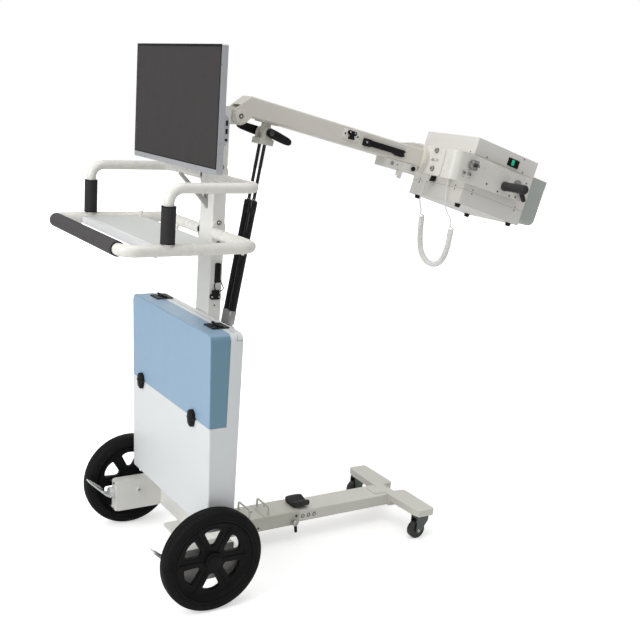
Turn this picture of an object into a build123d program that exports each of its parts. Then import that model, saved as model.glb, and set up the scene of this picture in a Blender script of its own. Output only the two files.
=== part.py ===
"""Mobile x-ray machine: wheeled stand with a telescopic leg, a case, a tray, a monitor and a sprung arm that carries the head."""

import os
from math import atan2, cos, degrees, hypot, radians, sin, tan

from build123d import *

os.makedirs("parts", exist_ok=True)

# Case, whose width sets the track
case_w = 552
case_back = 82
case_top = 792
case_bottom = 213
case_front_top = -19
case_front_bottom = 2
seam_x = 44
seam_z = 526
case_wall = 4
case_rim = 18
lid_gap = 1
case_round = 22
case_edge = 4

# Wheels and axle
wheel_d = 305
wheel_w = 54
wheel_gap = 5
track = case_w + 70
axle_d = 20
axle_z = wheel_d / 2
hub_r = 27
rim_r = 119
rim_wall = 13
running = 0.05

# Handle loop at the operator's end
tray_x = -276
tray_back = 96
tray_y = case_w / 2 + 8
tray_z = 1030
tray_tube = 32
tube_wall = 2
tube_bend = 38
foam_d = 40

# Arm, yoke, head and collimator
pivot_ahead = 166
pivot_z = 1361
arm_angle = 12
arm_w = 60
arm_low = 7
arm_high = 63
arm_len = 672
arm_wall = 4
pivot_pin_r = 8
flange_r = 47
flange_t = 12
flange_gap = 0.3
roll_r = 15
tilt_along = arm_len + 303
tilt_up = 30
tilt_r = 12
head_angle = 16
head_w = 260
head_back = -185
head_front = 97
head_low = -117
head_high = 99
head_seam_low = -69
head_seam_high = 46
head_wall = 4
coll_len = 115
coll_w = 174
coll_high = 59
coll_low = -100

# The axle's place along X, from the handle's back and the collimator's top corner
ca = cos(radians(arm_angle))
sa = sin(radians(arm_angle))
ch = cos(radians(head_angle))
sh = sin(radians(head_angle))
tilt_ahead = pivot_ahead + tilt_along * ca + tilt_up * sa
tilt_z = pivot_z - tilt_along * sa + tilt_up * ca
front_reach = tilt_ahead + (head_front + coll_len) * ch + coll_high * sh
rear_reach = tray_x - foam_d / 2
axle_x = -(front_reach + rear_reach) / 2


def fwd(distance):
    return axle_x + distance


# Column and the cross beam it stands on
col_x0 = 86.5
col_x1 = 128.5
col_w = 84
col_wall = 3
col_top = 1336
beam_z0 = 72
beam_z1 = 132
base_plate_x0 = 35
base_plate_w = 210
base_plate_t = 6

# Side boxes that carry the axle stubs and the pedals
box_w = 39
box_y1 = track / 2 - wheel_w / 2 - wheel_gap
box_y0 = box_y1 - box_w
box_x0 = -66
box_z0 = 72
box_z1 = 174
box_wall = 4
pedal_z = 135

# Leg, sleeve and foot
leg_w = 90
leg_z0 = 64
leg_z1 = 102
leg_x0 = 250
leg_x1 = 815
leg_wall = 3
slide = 0.3
sleeve_wall = 5
sleeve_x1 = 453
foot_depth = 77
foot_half = 206
foot_z0 = 82
foot_z1 = 104
caster_y = 183
caster_trail = 24
caster_d = 60
caster_w = 22
caster_pin = 4
stem_r = 6

# Upper rail
rail_x = -158
rail_z = 1188
rail_tube = 28
grip_d = 38
grip_top = 1143

# Monitor
mon_x0 = -26
mon_w = 552
mon_z0 = 1219
mon_z1 = 1545
mon_t = 18
mon_pivot_x = 45
mon_pivot_z = 1330
mon_frame = 6
mon_chin = 16

# Gas springs, from the lower eye on the column to the clevis under the arm
eye_ahead = 173
eye_z = 735
eye_r = 5
pin_along = 105
pin_up = -22
pin_ahead = pivot_ahead + pin_along * ca + pin_up * sa
pin_z = pivot_z - pin_along * sa + pin_up * ca
spring_len = hypot(pin_ahead - eye_ahead, pin_z - eye_z)
spring_y = 15
cyl_d = 24
cyl_len = 385
rod_d = 10

# Curly cord between the head's socket and the hand switch
cord_d = 5
curl_d = 18

side = Plane(origin=(axle_x, 0, 0), x_dir=(1, 0, 0), z_dir=(0, -1, 0))
arm_side = Plane(origin=(fwd(pivot_ahead), 0, pivot_z), x_dir=(ca, 0, -sa), z_dir=(0, -1, 0))
head_side = Plane(origin=(fwd(tilt_ahead), 0, tilt_z), x_dir=(ch, 0, -sh), z_dir=(0, -1, 0))
spring_up = ((pin_ahead - eye_ahead) / spring_len, 0, (pin_z - eye_z) / spring_len)
spring_side = Plane(origin=(fwd(eye_ahead), 0, eye_z), x_dir=spring_up, z_dir=(0, -1, 0))


def offset_y(plane, y):
    return Plane(origin=plane.origin + Vector(0, y, 0), x_dir=plane.x_dir, z_dir=plane.z_dir)


def across(plane, along, y=0, up=0):
    # A plane square to the given side plane's X axis, with local X along world Y
    origin = plane.origin + plane.x_dir * along + plane.y_dir * up + Vector(0, y, 0)
    return Plane(origin=origin, x_dir=(0, 1, 0), z_dir=plane.x_dir)


def above(plane, up, y=0, along=0):
    # A plane square to the given side plane's Y axis, with local X along its X axis
    origin = plane.origin + plane.x_dir * along + plane.y_dir * up + Vector(0, y, 0)
    return Plane(origin=origin, x_dir=plane.x_dir, z_dir=plane.y_dir)


# Cross beam with closed ends, and the plate under it
beam_mid = ((col_x0 + col_x1) / 2, (beam_z0 + beam_z1) / 2)
with BuildPart() as base_beam:
    with BuildSketch(offset_y(side, box_y1)):
        with Locations(beam_mid):
            RectangleRounded(col_x1 - col_x0, beam_z1 - beam_z0, 4)
    extrude(amount=2 * box_y1)
    with BuildSketch(offset_y(side, box_y1 - col_wall)):
        with Locations(beam_mid):
            Rectangle(col_x1 - col_x0 - 2 * col_wall, beam_z1 - beam_z0 - 2 * col_wall)
    extrude(amount=2 * (box_y1 - col_wall), mode=Mode.SUBTRACT)
    with BuildSketch(Plane(origin=(axle_x, 0, beam_z0 - base_plate_t))):
        with Locations(((base_plate_x0 + col_x1) / 2, 0)):
            RectangleRounded(col_x1 - base_plate_x0, base_plate_w, 12)
    extrude(amount=base_plate_t)
base_beam.part.label = "base_beam"
export_step(base_beam.part, "parts/base_beam.step")

# Side boxes, open at the rear, each with a socket-headed button on its inner face
box_y = (box_y0 + box_y1) / 2
box_mid_x = (box_x0 + col_x0) / 2
box_mid_z = (box_z0 + box_z1) / 2
box_high = box_z1 - box_z0
with BuildPart() as side_boxes:
    for sign in (1, -1):
        with BuildSketch(offset_y(side, sign * box_y + box_w / 2)):
            with Locations((box_mid_x, box_mid_z)):
                RectangleRounded(col_x0 - box_x0, box_high, 5)
        extrude(amount=box_w)
        with BuildSketch(across(side, box_x0, sign * box_y, box_mid_z)):
            Rectangle(box_w - 2 * box_wall, box_high - 2 * box_wall)
        extrude(amount=col_x0 - box_x0 - box_wall, mode=Mode.SUBTRACT)
        with BuildSketch(Plane(origin=(fwd(10), sign * box_y0, 136), z_dir=(0, -sign, 0))):
            Circle(12)
            RegularPolygon(6, 6, mode=Mode.SUBTRACT)
        extrude(amount=4)
side_boxes.part.label = "side_boxes"
export_step(side_boxes.part, "parts/side_boxes.step")

# End plates with corner screws and the spigots that carry the pedals
plate_t = 4
spigot_r = 10
spigot_len = 14
with BuildPart() as end_plates:
    for sign in (1, -1):
        plate = Plane(origin=(fwd(box_x0), sign * box_y, box_mid_z), x_dir=(0, -1, 0), z_dir=(-1, 0, 0))
        with BuildSketch(plate):
            RectangleRounded(box_w, box_high, 5)
        extrude(amount=plate_t)
        with BuildSketch(plate.offset(plate_t)):
            with GridLocations(box_w - 13, box_high - 14, 2, 2):
                Circle(3.5)
            with Locations((0, pedal_z - box_mid_z)):
                Circle(spigot_r + 7)
        extrude(amount=2.5)
        with BuildSketch(plate.offset(plate_t)):
            with Locations((0, pedal_z - box_mid_z)):
                Circle(spigot_r)
        extrude(amount=spigot_len)
end_plates.part.label = "end_plates"
export_step(end_plates.part, "parts/end_plates.step")

# Pedals: a capped ring on the spigot and a bent tread
pedal_x = box_x0 - plate_t - 4
with BuildPart() as pedals:
    for sign in (1, -1):
        with BuildSketch(offset_y(side, sign * box_y + 17)):
            with BuildLine():
                FilletPolyline(
                    (pedal_x - 8, pedal_z - 5),
                    (pedal_x - 26, pedal_z - 5),
                    (-157, pedal_z + 48),
                    radius=14,
                )
                offset(amount=2.2, side=Side.BOTH)
            make_face()
        extrude(amount=34)
        with BuildSketch(Plane(origin=(fwd(pedal_x), sign * box_y, pedal_z), z_dir=(-1, 0, 0))):
            Circle(spigot_r + 6)
        extrude(amount=14)
        with BuildSketch(Plane(origin=(fwd(pedal_x + 1), sign * box_y, pedal_z), z_dir=(-1, 0, 0))):
            Circle(spigot_r + running)
        extrude(amount=spigot_len - 2, mode=Mode.SUBTRACT)
pedals.part.label = "pedals"
export_step(pedals.part, "parts/pedals.step")

# Axle stubs on the outer faces of the side boxes
with BuildPart() as axle_stubs:
    for sign in (1, -1):
        stub = Plane(origin=(fwd(0), sign * box_y1, axle_z), z_dir=(0, sign, 0))
        with BuildSketch(stub):
            Circle(axle_d)
        extrude(amount=wheel_gap - 2)
        with BuildSketch(stub):
            Circle(axle_d / 2)
        extrude(amount=wheel_w - 4)
axle_stubs.part.label = "axle_stubs"
export_step(axle_stubs.part, "parts/axle_stubs.step")

# Wheels: a rim with a ribbed web and six windows, a domed hub, and a tyre with shoulder notches
hub_in = box_y1 + wheel_gap + 3
hub_out = box_y1 + wheel_gap + wheel_w - 1
web_y = track / 2
notch_count = 24
for hand, sign in (("left", 1), ("right", -1)):
    wheel_mid = Plane(origin=(fwd(0), sign * web_y, axle_z), x_dir=(1, 0, 0), z_dir=(0, sign, 0))
    with BuildPart() as rim:
        with BuildSketch(wheel_mid):
            Circle(rim_r)
        extrude(amount=5, both=True)
        with BuildSketch(wheel_mid):
            Circle(rim_r)
            Circle(rim_r - rim_wall, mode=Mode.SUBTRACT)
        extrude(amount=wheel_w / 2 - 5, both=True)
        with BuildSketch(wheel_mid):
            with PolarLocations((hub_r + rim_r - rim_wall) / 2, 6):
                Rectangle(rim_r - rim_wall - hub_r + 4, 6)
        extrude(amount=11, both=True)
        with BuildSketch(Plane(origin=(fwd(0), sign * hub_in, axle_z), z_dir=(0, sign, 0))):
            Circle(hub_r)
        extrude(amount=hub_out - hub_in)
        fillet(rim.edges().filter_by(GeomType.CIRCLE).sort_by(Axis.Y)[-1 if sign > 0 else 0], 7)
        with BuildSketch(wheel_mid.offset(-40)) as windows:
            with PolarLocations(75, 6, start_angle=30):
                Polygon((-21, -13), (-21, 13), (21, 33), (21, -33), align=None)
            fillet(windows.vertices(), 9)
            with PolarLocations(92, 1, start_angle=30):
                Circle(8)
        extrude(amount=80, mode=Mode.SUBTRACT)
        with BuildSketch(Plane(origin=(fwd(0), sign * (hub_in - 1), axle_z), z_dir=(0, sign, 0))):
            Circle(axle_d / 2 + running)
        extrude(amount=wheel_w - 10, mode=Mode.SUBTRACT)
    rim.part.label = f"wheel_{hand}"
    export_step(rim.part, f"parts/wheel_{hand}.step")

    with BuildPart() as tyre:
        with BuildSketch(Plane(origin=(fwd(0), sign * web_y, axle_z), x_dir=(1, 0, 0), z_dir=(0, 0, 1))):
            with BuildLine():
                Line((rim_r, -wheel_w / 2 + 5), (rim_r, wheel_w / 2 - 5))
                ThreePointArc((rim_r, wheel_w / 2 - 5), (rim_r + 14, wheel_w / 2), (wheel_d / 2 - 8, wheel_w / 2 - 4))
                ThreePointArc((wheel_d / 2 - 8, wheel_w / 2 - 4), (wheel_d / 2, 0), (wheel_d / 2 - 8, -wheel_w / 2 + 4))
                ThreePointArc((wheel_d / 2 - 8, -wheel_w / 2 + 4), (rim_r + 14, -wheel_w / 2), (rim_r, -wheel_w / 2 + 5))
            make_face()
        revolve(axis=Axis((fwd(0), 0, axle_z), (0, 1, 0)))
        for face in (1, -1):
            with BuildSketch(wheel_mid.offset(face * 17)):
                with PolarLocations(wheel_d / 2 - 3.5, notch_count):
                    Rectangle(12, 7)
            extrude(amount=face * 14, mode=Mode.SUBTRACT)
    tyre.part.label = f"tyre_{hand}"
    export_step(tyre.part, f"parts/tyre_{hand}.step")

# Case: the back shell and the lower half, with the compartment behind the lid
front_rise = case_top - case_bottom
front_at_seam = case_front_bottom + (case_front_top - case_front_bottom) * (seam_z - case_bottom) / front_rise
front_run = hypot(case_front_top - case_front_bottom, front_rise)
front_up = ((case_front_top - case_front_bottom) / front_run, 0, front_rise / front_run)
front_out = (-front_rise / front_run, 0, (case_front_top - case_front_bottom) / front_run)
with BuildPart() as case_body:
    with BuildSketch(offset_y(side, case_w / 2)):
        Polygon(
            (case_front_bottom, case_bottom),
            (case_back, case_bottom),
            (case_back, case_top),
            (case_front_top, case_top),
            align=None,
        )
    extrude(amount=case_w)
    fillet(case_body.edges().filter_by(Axis.X).group_by(Axis.Z)[-1], case_round)
    fillet(case_body.edges().filter_by(Axis.X).group_by(Axis.Z)[0], case_edge)
    fillet(case_body.edges().filter_by(Axis((0, 0, 0), front_up)), case_edge)
    with BuildSketch(offset_y(side, case_w / 2 + 1)):
        with Locations(((seam_x + case_front_top) / 2 - 50, (seam_z + case_top) / 2 + 10)):
            Rectangle(seam_x - case_front_top + 100, case_top - seam_z + 20)
    extrude(amount=case_w + 2, mode=Mode.SUBTRACT)
    with BuildSketch(across(side, seam_x - 1, 0, (seam_z + case_top) / 2)):
        RectangleRounded(case_w - 2 * case_rim, case_top - seam_z - 2 * case_wall - 4, 12)
    extrude(amount=case_back - case_wall - seam_x + 1, mode=Mode.SUBTRACT)
    with BuildSketch(offset_y(side, case_w / 2 - case_wall)):
        Polygon(
            (case_front_bottom + case_wall, case_bottom + case_wall),
            (case_back - case_wall, case_bottom + case_wall),
            (case_back - case_wall, seam_z - case_wall),
            (front_at_seam + case_wall, seam_z - case_wall),
            align=None,
        )
    extrude(amount=case_w - 2 * case_wall, mode=Mode.SUBTRACT)
case_body.part.label = "case_body"
export_step(case_body.part, "parts/case_body.step")

# Lid: a deep shell hinged along the top
with BuildPart() as lid:
    with BuildSketch(offset_y(side, case_w / 2)):
        Polygon(
            (case_front_bottom, case_bottom),
            (seam_x - lid_gap, case_bottom),
            (seam_x - lid_gap, case_top),
            (case_front_top, case_top),
            align=None,
        )
    extrude(amount=case_w)
    fillet(lid.edges().filter_by(Axis.X).group_by(Axis.Z)[-1], case_round)
    fillet(lid.edges().filter_by(Axis((0, 0, 0), front_up)), case_edge)
    with BuildSketch(offset_y(side, case_w / 2 + 1)):
        with Locations((seam_x / 2, (seam_z + lid_gap + case_bottom) / 2 - 10)):
            Rectangle(2 * seam_x + 100, seam_z + lid_gap - case_bottom + 20)
    extrude(amount=case_w + 2, mode=Mode.SUBTRACT)
    with BuildSketch(offset_y(side, case_w / 2 - case_rim)):
        Polygon(
            (front_at_seam + case_wall, seam_z + lid_gap + case_wall),
            (seam_x + 10, seam_z + lid_gap + case_wall),
            (seam_x + 10, case_top - case_wall),
            (case_front_top + case_wall, case_top - case_wall),
            align=None,
        )
    extrude(amount=case_w - 2 * case_rim, mode=Mode.SUBTRACT)
lid.part.label = "lid"
export_step(lid.part, "parts/lid.step")

# Lid hinges: fixed leaves with the pins, and the lid's leaves
hinge_x = 46
hinge_z = case_top + 5
hinge_r = 4
hinge_pin = 1.5
hinge_places = (case_w / 2 - 79, 92 - case_w / 2)
leaf_w = 60
knuckle_w = 19
leaf_t = 3
with BuildPart() as hinge_fixed:
    for y in hinge_places:
        with BuildSketch(above(side, case_top, y, hinge_x + 15)):
            RectangleRounded(20, leaf_w, 3)
        extrude(amount=leaf_t)
        for dy in (knuckle_w + 1, -knuckle_w - 1):
            with BuildSketch(offset_y(side, y + dy + knuckle_w / 2)):
                with Locations((hinge_x + 3, case_top + 3)):
                    Rectangle(6, 6)
                with Locations((hinge_x, hinge_z)):
                    Circle(hinge_r)
            extrude(amount=knuckle_w)
        with BuildSketch(offset_y(side, y + leaf_w / 2)):
            with Locations((hinge_x, hinge_z)):
                Circle(hinge_pin)
        extrude(amount=leaf_w)
hinge_fixed.part.label = "hinge_fixed"
export_step(hinge_fixed.part, "parts/hinge_fixed.step")

with BuildPart() as hinge_lid:
    for y in hinge_places:
        with BuildSketch(above(side, case_top, y, hinge_x - 17)):
            RectangleRounded(22, leaf_w, 3)
        extrude(amount=leaf_t)
        with BuildSketch(offset_y(side, y + knuckle_w / 2)):
            with Locations((hinge_x - 4, case_top + 3)):
                Rectangle(8, 6)
            with Locations((hinge_x, hinge_z)):
                Circle(hinge_r)
                Circle(hinge_pin + running, mode=Mode.SUBTRACT)
        extrude(amount=knuckle_w)
hinge_lid.part.label = "hinge_lid"
export_step(hinge_lid.part, "parts/hinge_lid.step")

# Turn latches on the lid's lower edge, reaching over the seam
with BuildPart() as lid_latches:
    for y in (case_w / 2 - 76, 106 - case_w / 2):
        latch_face = Plane(origin=(fwd(front_at_seam), y, seam_z), x_dir=(0, -1, 0), z_dir=front_out)
        with BuildSketch(latch_face):
            with Locations((0, 13)):
                RectangleRounded(20, 22, 5)
        extrude(amount=4)
        with BuildSketch(latch_face.offset(1.5)):
            SlotOverall(48, 22, rotation=90)
        extrude(amount=6)
lid_latches.part.label = "lid_latches"
export_step(lid_latches.part, "parts/lid_latches.step")

# Column on the cross beam, with the two pads the case is bolted to
col_mid_x = (col_x0 + col_x1) / 2
with BuildPart() as column:
    with BuildSketch(Plane(origin=(axle_x, 0, beam_z1))):
        with Locations((col_mid_x, 0)):
            RectangleRounded(col_x1 - col_x0, col_w, 4)
            RectangleRounded(col_x1 - col_x0 - 2 * col_wall, col_w - 2 * col_wall, 1.5, mode=Mode.SUBTRACT)
    extrude(amount=col_top - beam_z1)
    for z in (case_bottom + 60, case_top - 60):
        with BuildSketch(across(side, case_back, 0, z)):
            RectangleRounded(col_w - 16, 50, 5)
        extrude(amount=col_x0 - case_back + 1)
column.part.label = "column"
export_step(column.part, "parts/column.step")

# Head block with the tongue and the pin that the arm pivots on
head_block_x = 136
head_block_z = 1387
tongue_w = 40
tongue_r = 24
with BuildPart() as column_head:
    with BuildSketch(offset_y(side, arm_w / 2)):
        with Locations(((col_x0 + head_block_x) / 2, (col_top + head_block_z) / 2)):
            RectangleRounded(head_block_x - col_x0, head_block_z - col_top, 3)
    extrude(amount=arm_w)
    with BuildSketch(offset_y(side, tongue_w / 2)):
        with Locations(((col_x1 + pivot_ahead) / 2, pivot_z)):
            Rectangle(pivot_ahead - col_x1, 2 * tongue_r)
        with Locations((pivot_ahead, pivot_z)):
            Circle(tongue_r)
    extrude(amount=tongue_w)
    with BuildSketch(Plane(origin=(axle_x, 0, col_top))):
        with Locations((col_mid_x, 0)):
            RectangleRounded(col_x1 - col_x0, col_w, 4)
    extrude(amount=6)
    with BuildSketch(offset_y(side, arm_w / 2)):
        with Locations((pivot_ahead, pivot_z)):
            Circle(pivot_pin_r)
    extrude(amount=arm_w)
column_head.part.label = "column_head"
export_step(column_head.part, "parts/column_head.step")

# Strap latch with its wire bail, and the keeper under it, on the column's side
strap_x = 110
strap_y = -col_w / 2
with BuildPart() as column_latch:
    with BuildSketch(offset_y(side, strap_y)):
        with Locations((strap_x, 914)):
            RectangleRounded(24, 70, 4)
    extrude(amount=3)
    with BuildSketch(offset_y(side, strap_y - 3)):
        with Locations((strap_x, 913)):
            RectangleRounded(16, 60, 4)
    extrude(amount=7)
    with BuildLine() as bail_path:
        FilletPolyline(
            (fwd(strap_x - 6), strap_y - 6, 888),
            (fwd(strap_x - 9), strap_y - 6, 872),
            (fwd(strap_x + 4), strap_y - 6, 858),
            (fwd(strap_x + 20), strap_y - 6, 864),
            (fwd(strap_x + 6), strap_y - 6, 896),
            radius=4,
        )
    with BuildSketch(Plane(origin=bail_path.line @ 0, z_dir=bail_path.line % 0)):
        Circle(1.5)
    sweep(path=bail_path.line)
    with BuildSketch(offset_y(side, strap_y)):
        with Locations((strap_x - 3, 840)):
            Rectangle(20, 14)
        with Locations((strap_x - 3, 830)):
            SlotOverall(34, 18)
    extrude(amount=11)
column_latch.part.label = "column_latch"
export_step(column_latch.part, "parts/column_latch.step")

# Tray loop, with the foam on its bar and on the upper rail's uprights
tray_r = tray_tube / 2
rail_r = rail_tube / 2
with BuildPart() as tray_frame:
    with BuildLine() as tray_path:
        FilletPolyline(
            (fwd(tray_back), -col_w / 2, tray_z),
            (fwd(tray_back), -tray_y, tray_z),
            (fwd(tray_x), -tray_y, tray_z),
            (fwd(tray_x), tray_y, tray_z),
            (fwd(tray_back), tray_y, tray_z),
            (fwd(tray_back), col_w / 2, tray_z),
            radius=tube_bend,
        )
    with BuildSketch(Plane(origin=tray_path.line @ 0, z_dir=tray_path.line % 0)):
        Circle(tray_r)
        Circle(tray_r - tube_wall, mode=Mode.SUBTRACT)
    sweep()
tray_frame.part.label = "tray_frame"
export_step(tray_frame.part, "parts/tray_frame.step")

grip_bottom = tray_z + tray_r + 1
with BuildPart() as foam_grips:
    with BuildSketch(Plane(origin=(fwd(tray_x), tube_bend + 1 - tray_y, tray_z), z_dir=(0, 1, 0))):
        Circle(foam_d / 2)
        Circle(tray_r, mode=Mode.SUBTRACT)
    extrude(amount=2 * (tray_y - tube_bend - 1))
    with BuildSketch(Plane(origin=(fwd(rail_x), 0, grip_bottom))):
        with Locations((0, tray_y), (0, -tray_y)):
            Circle(grip_d / 2)
            Circle(rail_r, mode=Mode.SUBTRACT)
    extrude(amount=grip_top - grip_bottom)
foam_grips.part.label = "foam_grips"
export_step(foam_grips.part, "parts/foam_grips.step")

# Tray plate with its folded front lip and two pegs, seated between the side tubes
plate_x0 = -213
plate_x1 = -3
sheet_t = 3
with BuildPart() as tray_plate:
    with BuildSketch(offset_y(side, tray_y - 11)):
        with BuildLine():
            Polyline(
                (plate_x0, tray_z - 8),
                (plate_x0, tray_z + 6.5),
                (plate_x1, tray_z + 6.5),
                (plate_x1, tray_z + 6.5 - sheet_t),
                (plate_x0 + sheet_t, tray_z + 6.5 - sheet_t),
                (plate_x0 + sheet_t, tray_z - 8),
                close=True,
            )
        make_face()
    extrude(amount=2 * (tray_y - 11))
    for y in (tray_y, -tray_y):
        with BuildSketch(across(side, plate_x0 - 10, y, tray_z)):
            Circle(tray_r)
        extrude(amount=plate_x1 - plate_x0 + 20, mode=Mode.SUBTRACT)
    with BuildSketch(Plane(origin=(axle_x, 0, tray_z + 5))):
        with Locations((plate_x1 - 9, tray_y - 39), (plate_x1 - 9, -20)):
            Circle(4)
    extrude(amount=16)
tray_plate.part.label = "tray_plate"
export_step(tray_plate.part, "parts/tray_plate.step")

# Upper rail, coped on the tray's side tubes
with BuildPart() as upper_rail:
    with BuildLine() as rail_path:
        FilletPolyline(
            (fwd(rail_x), -tray_y, tray_z),
            (fwd(rail_x), -tray_y, rail_z),
            (fwd(tray_back), -tray_y, rail_z),
            (fwd(tray_back), -col_w / 2, rail_z),
            radius=tube_bend,
        )
    with BuildSketch(Plane(origin=rail_path.line @ 0, z_dir=rail_path.line % 0)):
        Circle(rail_r)
        Circle(rail_r - tube_wall, mode=Mode.SUBTRACT)
    sweep()
    mirror(about=Plane.XZ)
    for y in (-tray_y, tray_y):
        with BuildSketch(across(side, rail_x - 60, y, tray_z)):
            Circle(tray_r + 0.01)
        extrude(amount=120, mode=Mode.SUBTRACT)
upper_rail.part.label = "upper_rail"
export_step(upper_rail.part, "parts/upper_rail.step")

flange_x = (col_x0 + col_x1) / 2
with BuildPart() as tube_flanges:
    for sign in (1, -1):
        for z, r in ((tray_z, tray_r), (rail_z, rail_r)):
            with BuildSketch(Plane(origin=(fwd(flange_x), sign * col_w / 2, z), x_dir=(0, 0, 1), z_dir=(0, sign, 0))):
                SlotOverall(76, 42)
                with Locations((0, sign * (tray_back - flange_x))):
                    Circle(r + running, mode=Mode.SUBTRACT)
                with Locations((30, 0), (-30, 0)):
                    Circle(3.2, mode=Mode.SUBTRACT)
            extrude(amount=4)
tube_flanges.part.label = "tube_flanges"
export_step(tube_flanges.part, "parts/tube_flanges.step")

# Monitor bracket: back plate, two cheeks, the tilt pin and a strut towards the screen's foot
cheek_y = 32
ear_y = 24
strut_w = 18
with BuildPart() as monitor_bracket:
    with BuildSketch(across(side, col_x0 - 6, 0, mon_pivot_z - 40)):
        RectangleRounded(70, 120, 4)
    extrude(amount=6)
    for y in (cheek_y, -cheek_y):
        with BuildSketch(offset_y(side, y + 3)):
            Polygon(
                (col_x0 - 4, mon_pivot_z - 34),
                (col_x0 - 4, mon_pivot_z + 16),
                (mon_pivot_x, mon_pivot_z + 12),
                (mon_pivot_x, mon_pivot_z - 12),
                align=None,
            )
            with Locations((mon_pivot_x, mon_pivot_z)):
                Circle(12)
        extrude(amount=6)
    with BuildSketch(offset_y(side, cheek_y + 6)):
        with Locations((mon_pivot_x, mon_pivot_z)):
            Circle(4)
    extrude(amount=2 * (cheek_y + 6))
    with BuildSketch(offset_y(side, strut_w / 2)):
        Polygon(
            (col_x0, 1096),
            (col_x0, 1150),
            (col_x0 - 4, 1150),
            (col_x0 - 4, 1122),
            (2, mon_z0 - 20),
            (-2, mon_z0 - 26),
            (col_x0 - 4, 1104),
            align=None,
        )
    extrude(amount=strut_w)
monitor_bracket.part.label = "monitor_bracket"
export_step(monitor_bracket.part, "parts/monitor_bracket.step")

# Monitor: back shell with its belly and ears, front frame with a deeper chin, and the glass
mon_mid_z = (mon_z0 + mon_z1) / 2
with BuildPart() as monitor_back:
    with BuildSketch(across(side, mon_x0 + 4, 0, mon_mid_z)):
        RectangleRounded(mon_w, mon_z1 - mon_z0, 5)
    extrude(amount=mon_t - 4)
    with BuildSketch(across(side, mon_x0 + mon_t, 0, mon_pivot_z + 2)):
        RectangleRounded(mon_w - 8, 96, 8)
    with BuildSketch(across(side, mon_x0 + mon_t + 15, 0, mon_pivot_z + 2)):
        RectangleRounded(mon_w - 48, 76, 8)
    loft()
    for y in (ear_y, -ear_y):
        with BuildSketch(offset_y(side, y + 4)):
            with Locations(((mon_x0 + mon_t + 10 + mon_pivot_x) / 2, mon_pivot_z)):
                Rectangle(mon_pivot_x - mon_x0 - mon_t - 10, 30)
            with Locations((mon_pivot_x, mon_pivot_z)):
                Circle(15)
        extrude(amount=8)
    with BuildSketch(offset_y(side, ear_y + 5)):
        with Locations((mon_pivot_x, mon_pivot_z)):
            Circle(4 + running)
    extrude(amount=2 * ear_y + 10, mode=Mode.SUBTRACT)
monitor_back.part.label = "monitor_back"
export_step(monitor_back.part, "parts/monitor_back.step")

glass_w = mon_w - 2 * mon_frame
glass_h = mon_z1 - mon_z0 - mon_frame - mon_chin
glass_z = mon_z0 + mon_chin + glass_h / 2
with BuildPart() as monitor_frame:
    with BuildSketch(across(side, mon_x0, 0, mon_mid_z)):
        RectangleRounded(mon_w, mon_z1 - mon_z0, 5)
    extrude(amount=4)
    with BuildSketch(across(side, mon_x0 - 1, 0, glass_z)):
        Rectangle(glass_w, glass_h)
    extrude(amount=6, mode=Mode.SUBTRACT)
monitor_frame.part.label = "monitor_frame"
export_step(monitor_frame.part, "parts/monitor_frame.step")

with BuildPart() as monitor_screen:
    with BuildSketch(across(side, mon_x0 + 1, 0, glass_z)):
        Rectangle(glass_w - 0.6, glass_h - 0.6)
    extrude(amount=3)
monitor_screen.part.label = "monitor_screen"
export_step(monitor_screen.part, "parts/monitor_screen.step")

# Leg sleeve, its loops, and the vee rest over its mouth
leg_mid_z = (leg_z0 + leg_z1) / 2
sleeve_in_w = leg_w + 2 * slide
sleeve_in_h = leg_z1 - leg_z0 + 2 * slide
sleeve_top = leg_z1 + slide + sleeve_wall
with BuildPart() as leg_sleeve:
    with BuildSketch(across(side, col_x1, 0, leg_mid_z)):
        RectangleRounded(sleeve_in_w + 2 * sleeve_wall, sleeve_in_h + 2 * sleeve_wall, 4)
        Rectangle(sleeve_in_w, sleeve_in_h, mode=Mode.SUBTRACT)
    extrude(amount=sleeve_x1 - col_x1)
leg_sleeve.part.label = "leg_sleeve"
export_step(leg_sleeve.part, "parts/leg_sleeve.step")

loop_half = 38
loop_high = 26
with BuildPart() as wire_loops:
    for x in (272, 341):
        with BuildLine() as loop_path:
            FilletPolyline(
                (fwd(x), -loop_half, sleeve_top),
                (fwd(x), -loop_half, sleeve_top + loop_high),
                (fwd(x), loop_half, sleeve_top + loop_high),
                (fwd(x), loop_half, sleeve_top),
                radius=8,
            )
        with BuildSketch(Plane(origin=loop_path.line @ 0, z_dir=loop_path.line % 0)):
            Circle(3)
        sweep(path=loop_path.line)
wire_loops.part.label = "wire_loops"
export_step(wire_loops.part, "parts/wire_loops.step")

rest_x0 = sleeve_x1 - 28
rest_len = 115
with BuildPart() as rest_pad:
    with BuildSketch(across(side, rest_x0, 0, 0)):
        with BuildLine():
            Polyline(
                (-loop_half, sleeve_top),
                (loop_half, sleeve_top),
                (loop_half + 4, sleeve_top + 20),
                (loop_half - 6, sleeve_top + 20),
                (0, sleeve_top + 7),
                (-loop_half + 6, sleeve_top + 20),
                (-loop_half - 4, sleeve_top + 20),
                close=True,
            )
        make_face()
    extrude(amount=rest_len)
rest_pad.part.label = "rest_pad"
export_step(rest_pad.part, "parts/rest_pad.step")

sleeve_side = -(sleeve_in_w / 2 + sleeve_wall)
with BuildPart() as leg_clamp:
    with BuildSketch(Plane(origin=(fwd(sleeve_x1 - 22), sleeve_side, 72), z_dir=(0, -1, 0))):
        Circle(5)
    extrude(amount=8)
    with BuildSketch(Plane(origin=(fwd(sleeve_x1 - 22), sleeve_side - 6, 72), z_dir=(0, -1, 0))):
        Circle(9)
        with PolarLocations(10, 5):
            Circle(5)
    extrude(amount=14)
leg_clamp.part.label = "leg_clamp"
export_step(leg_clamp.part, "parts/leg_clamp.step")

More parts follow.
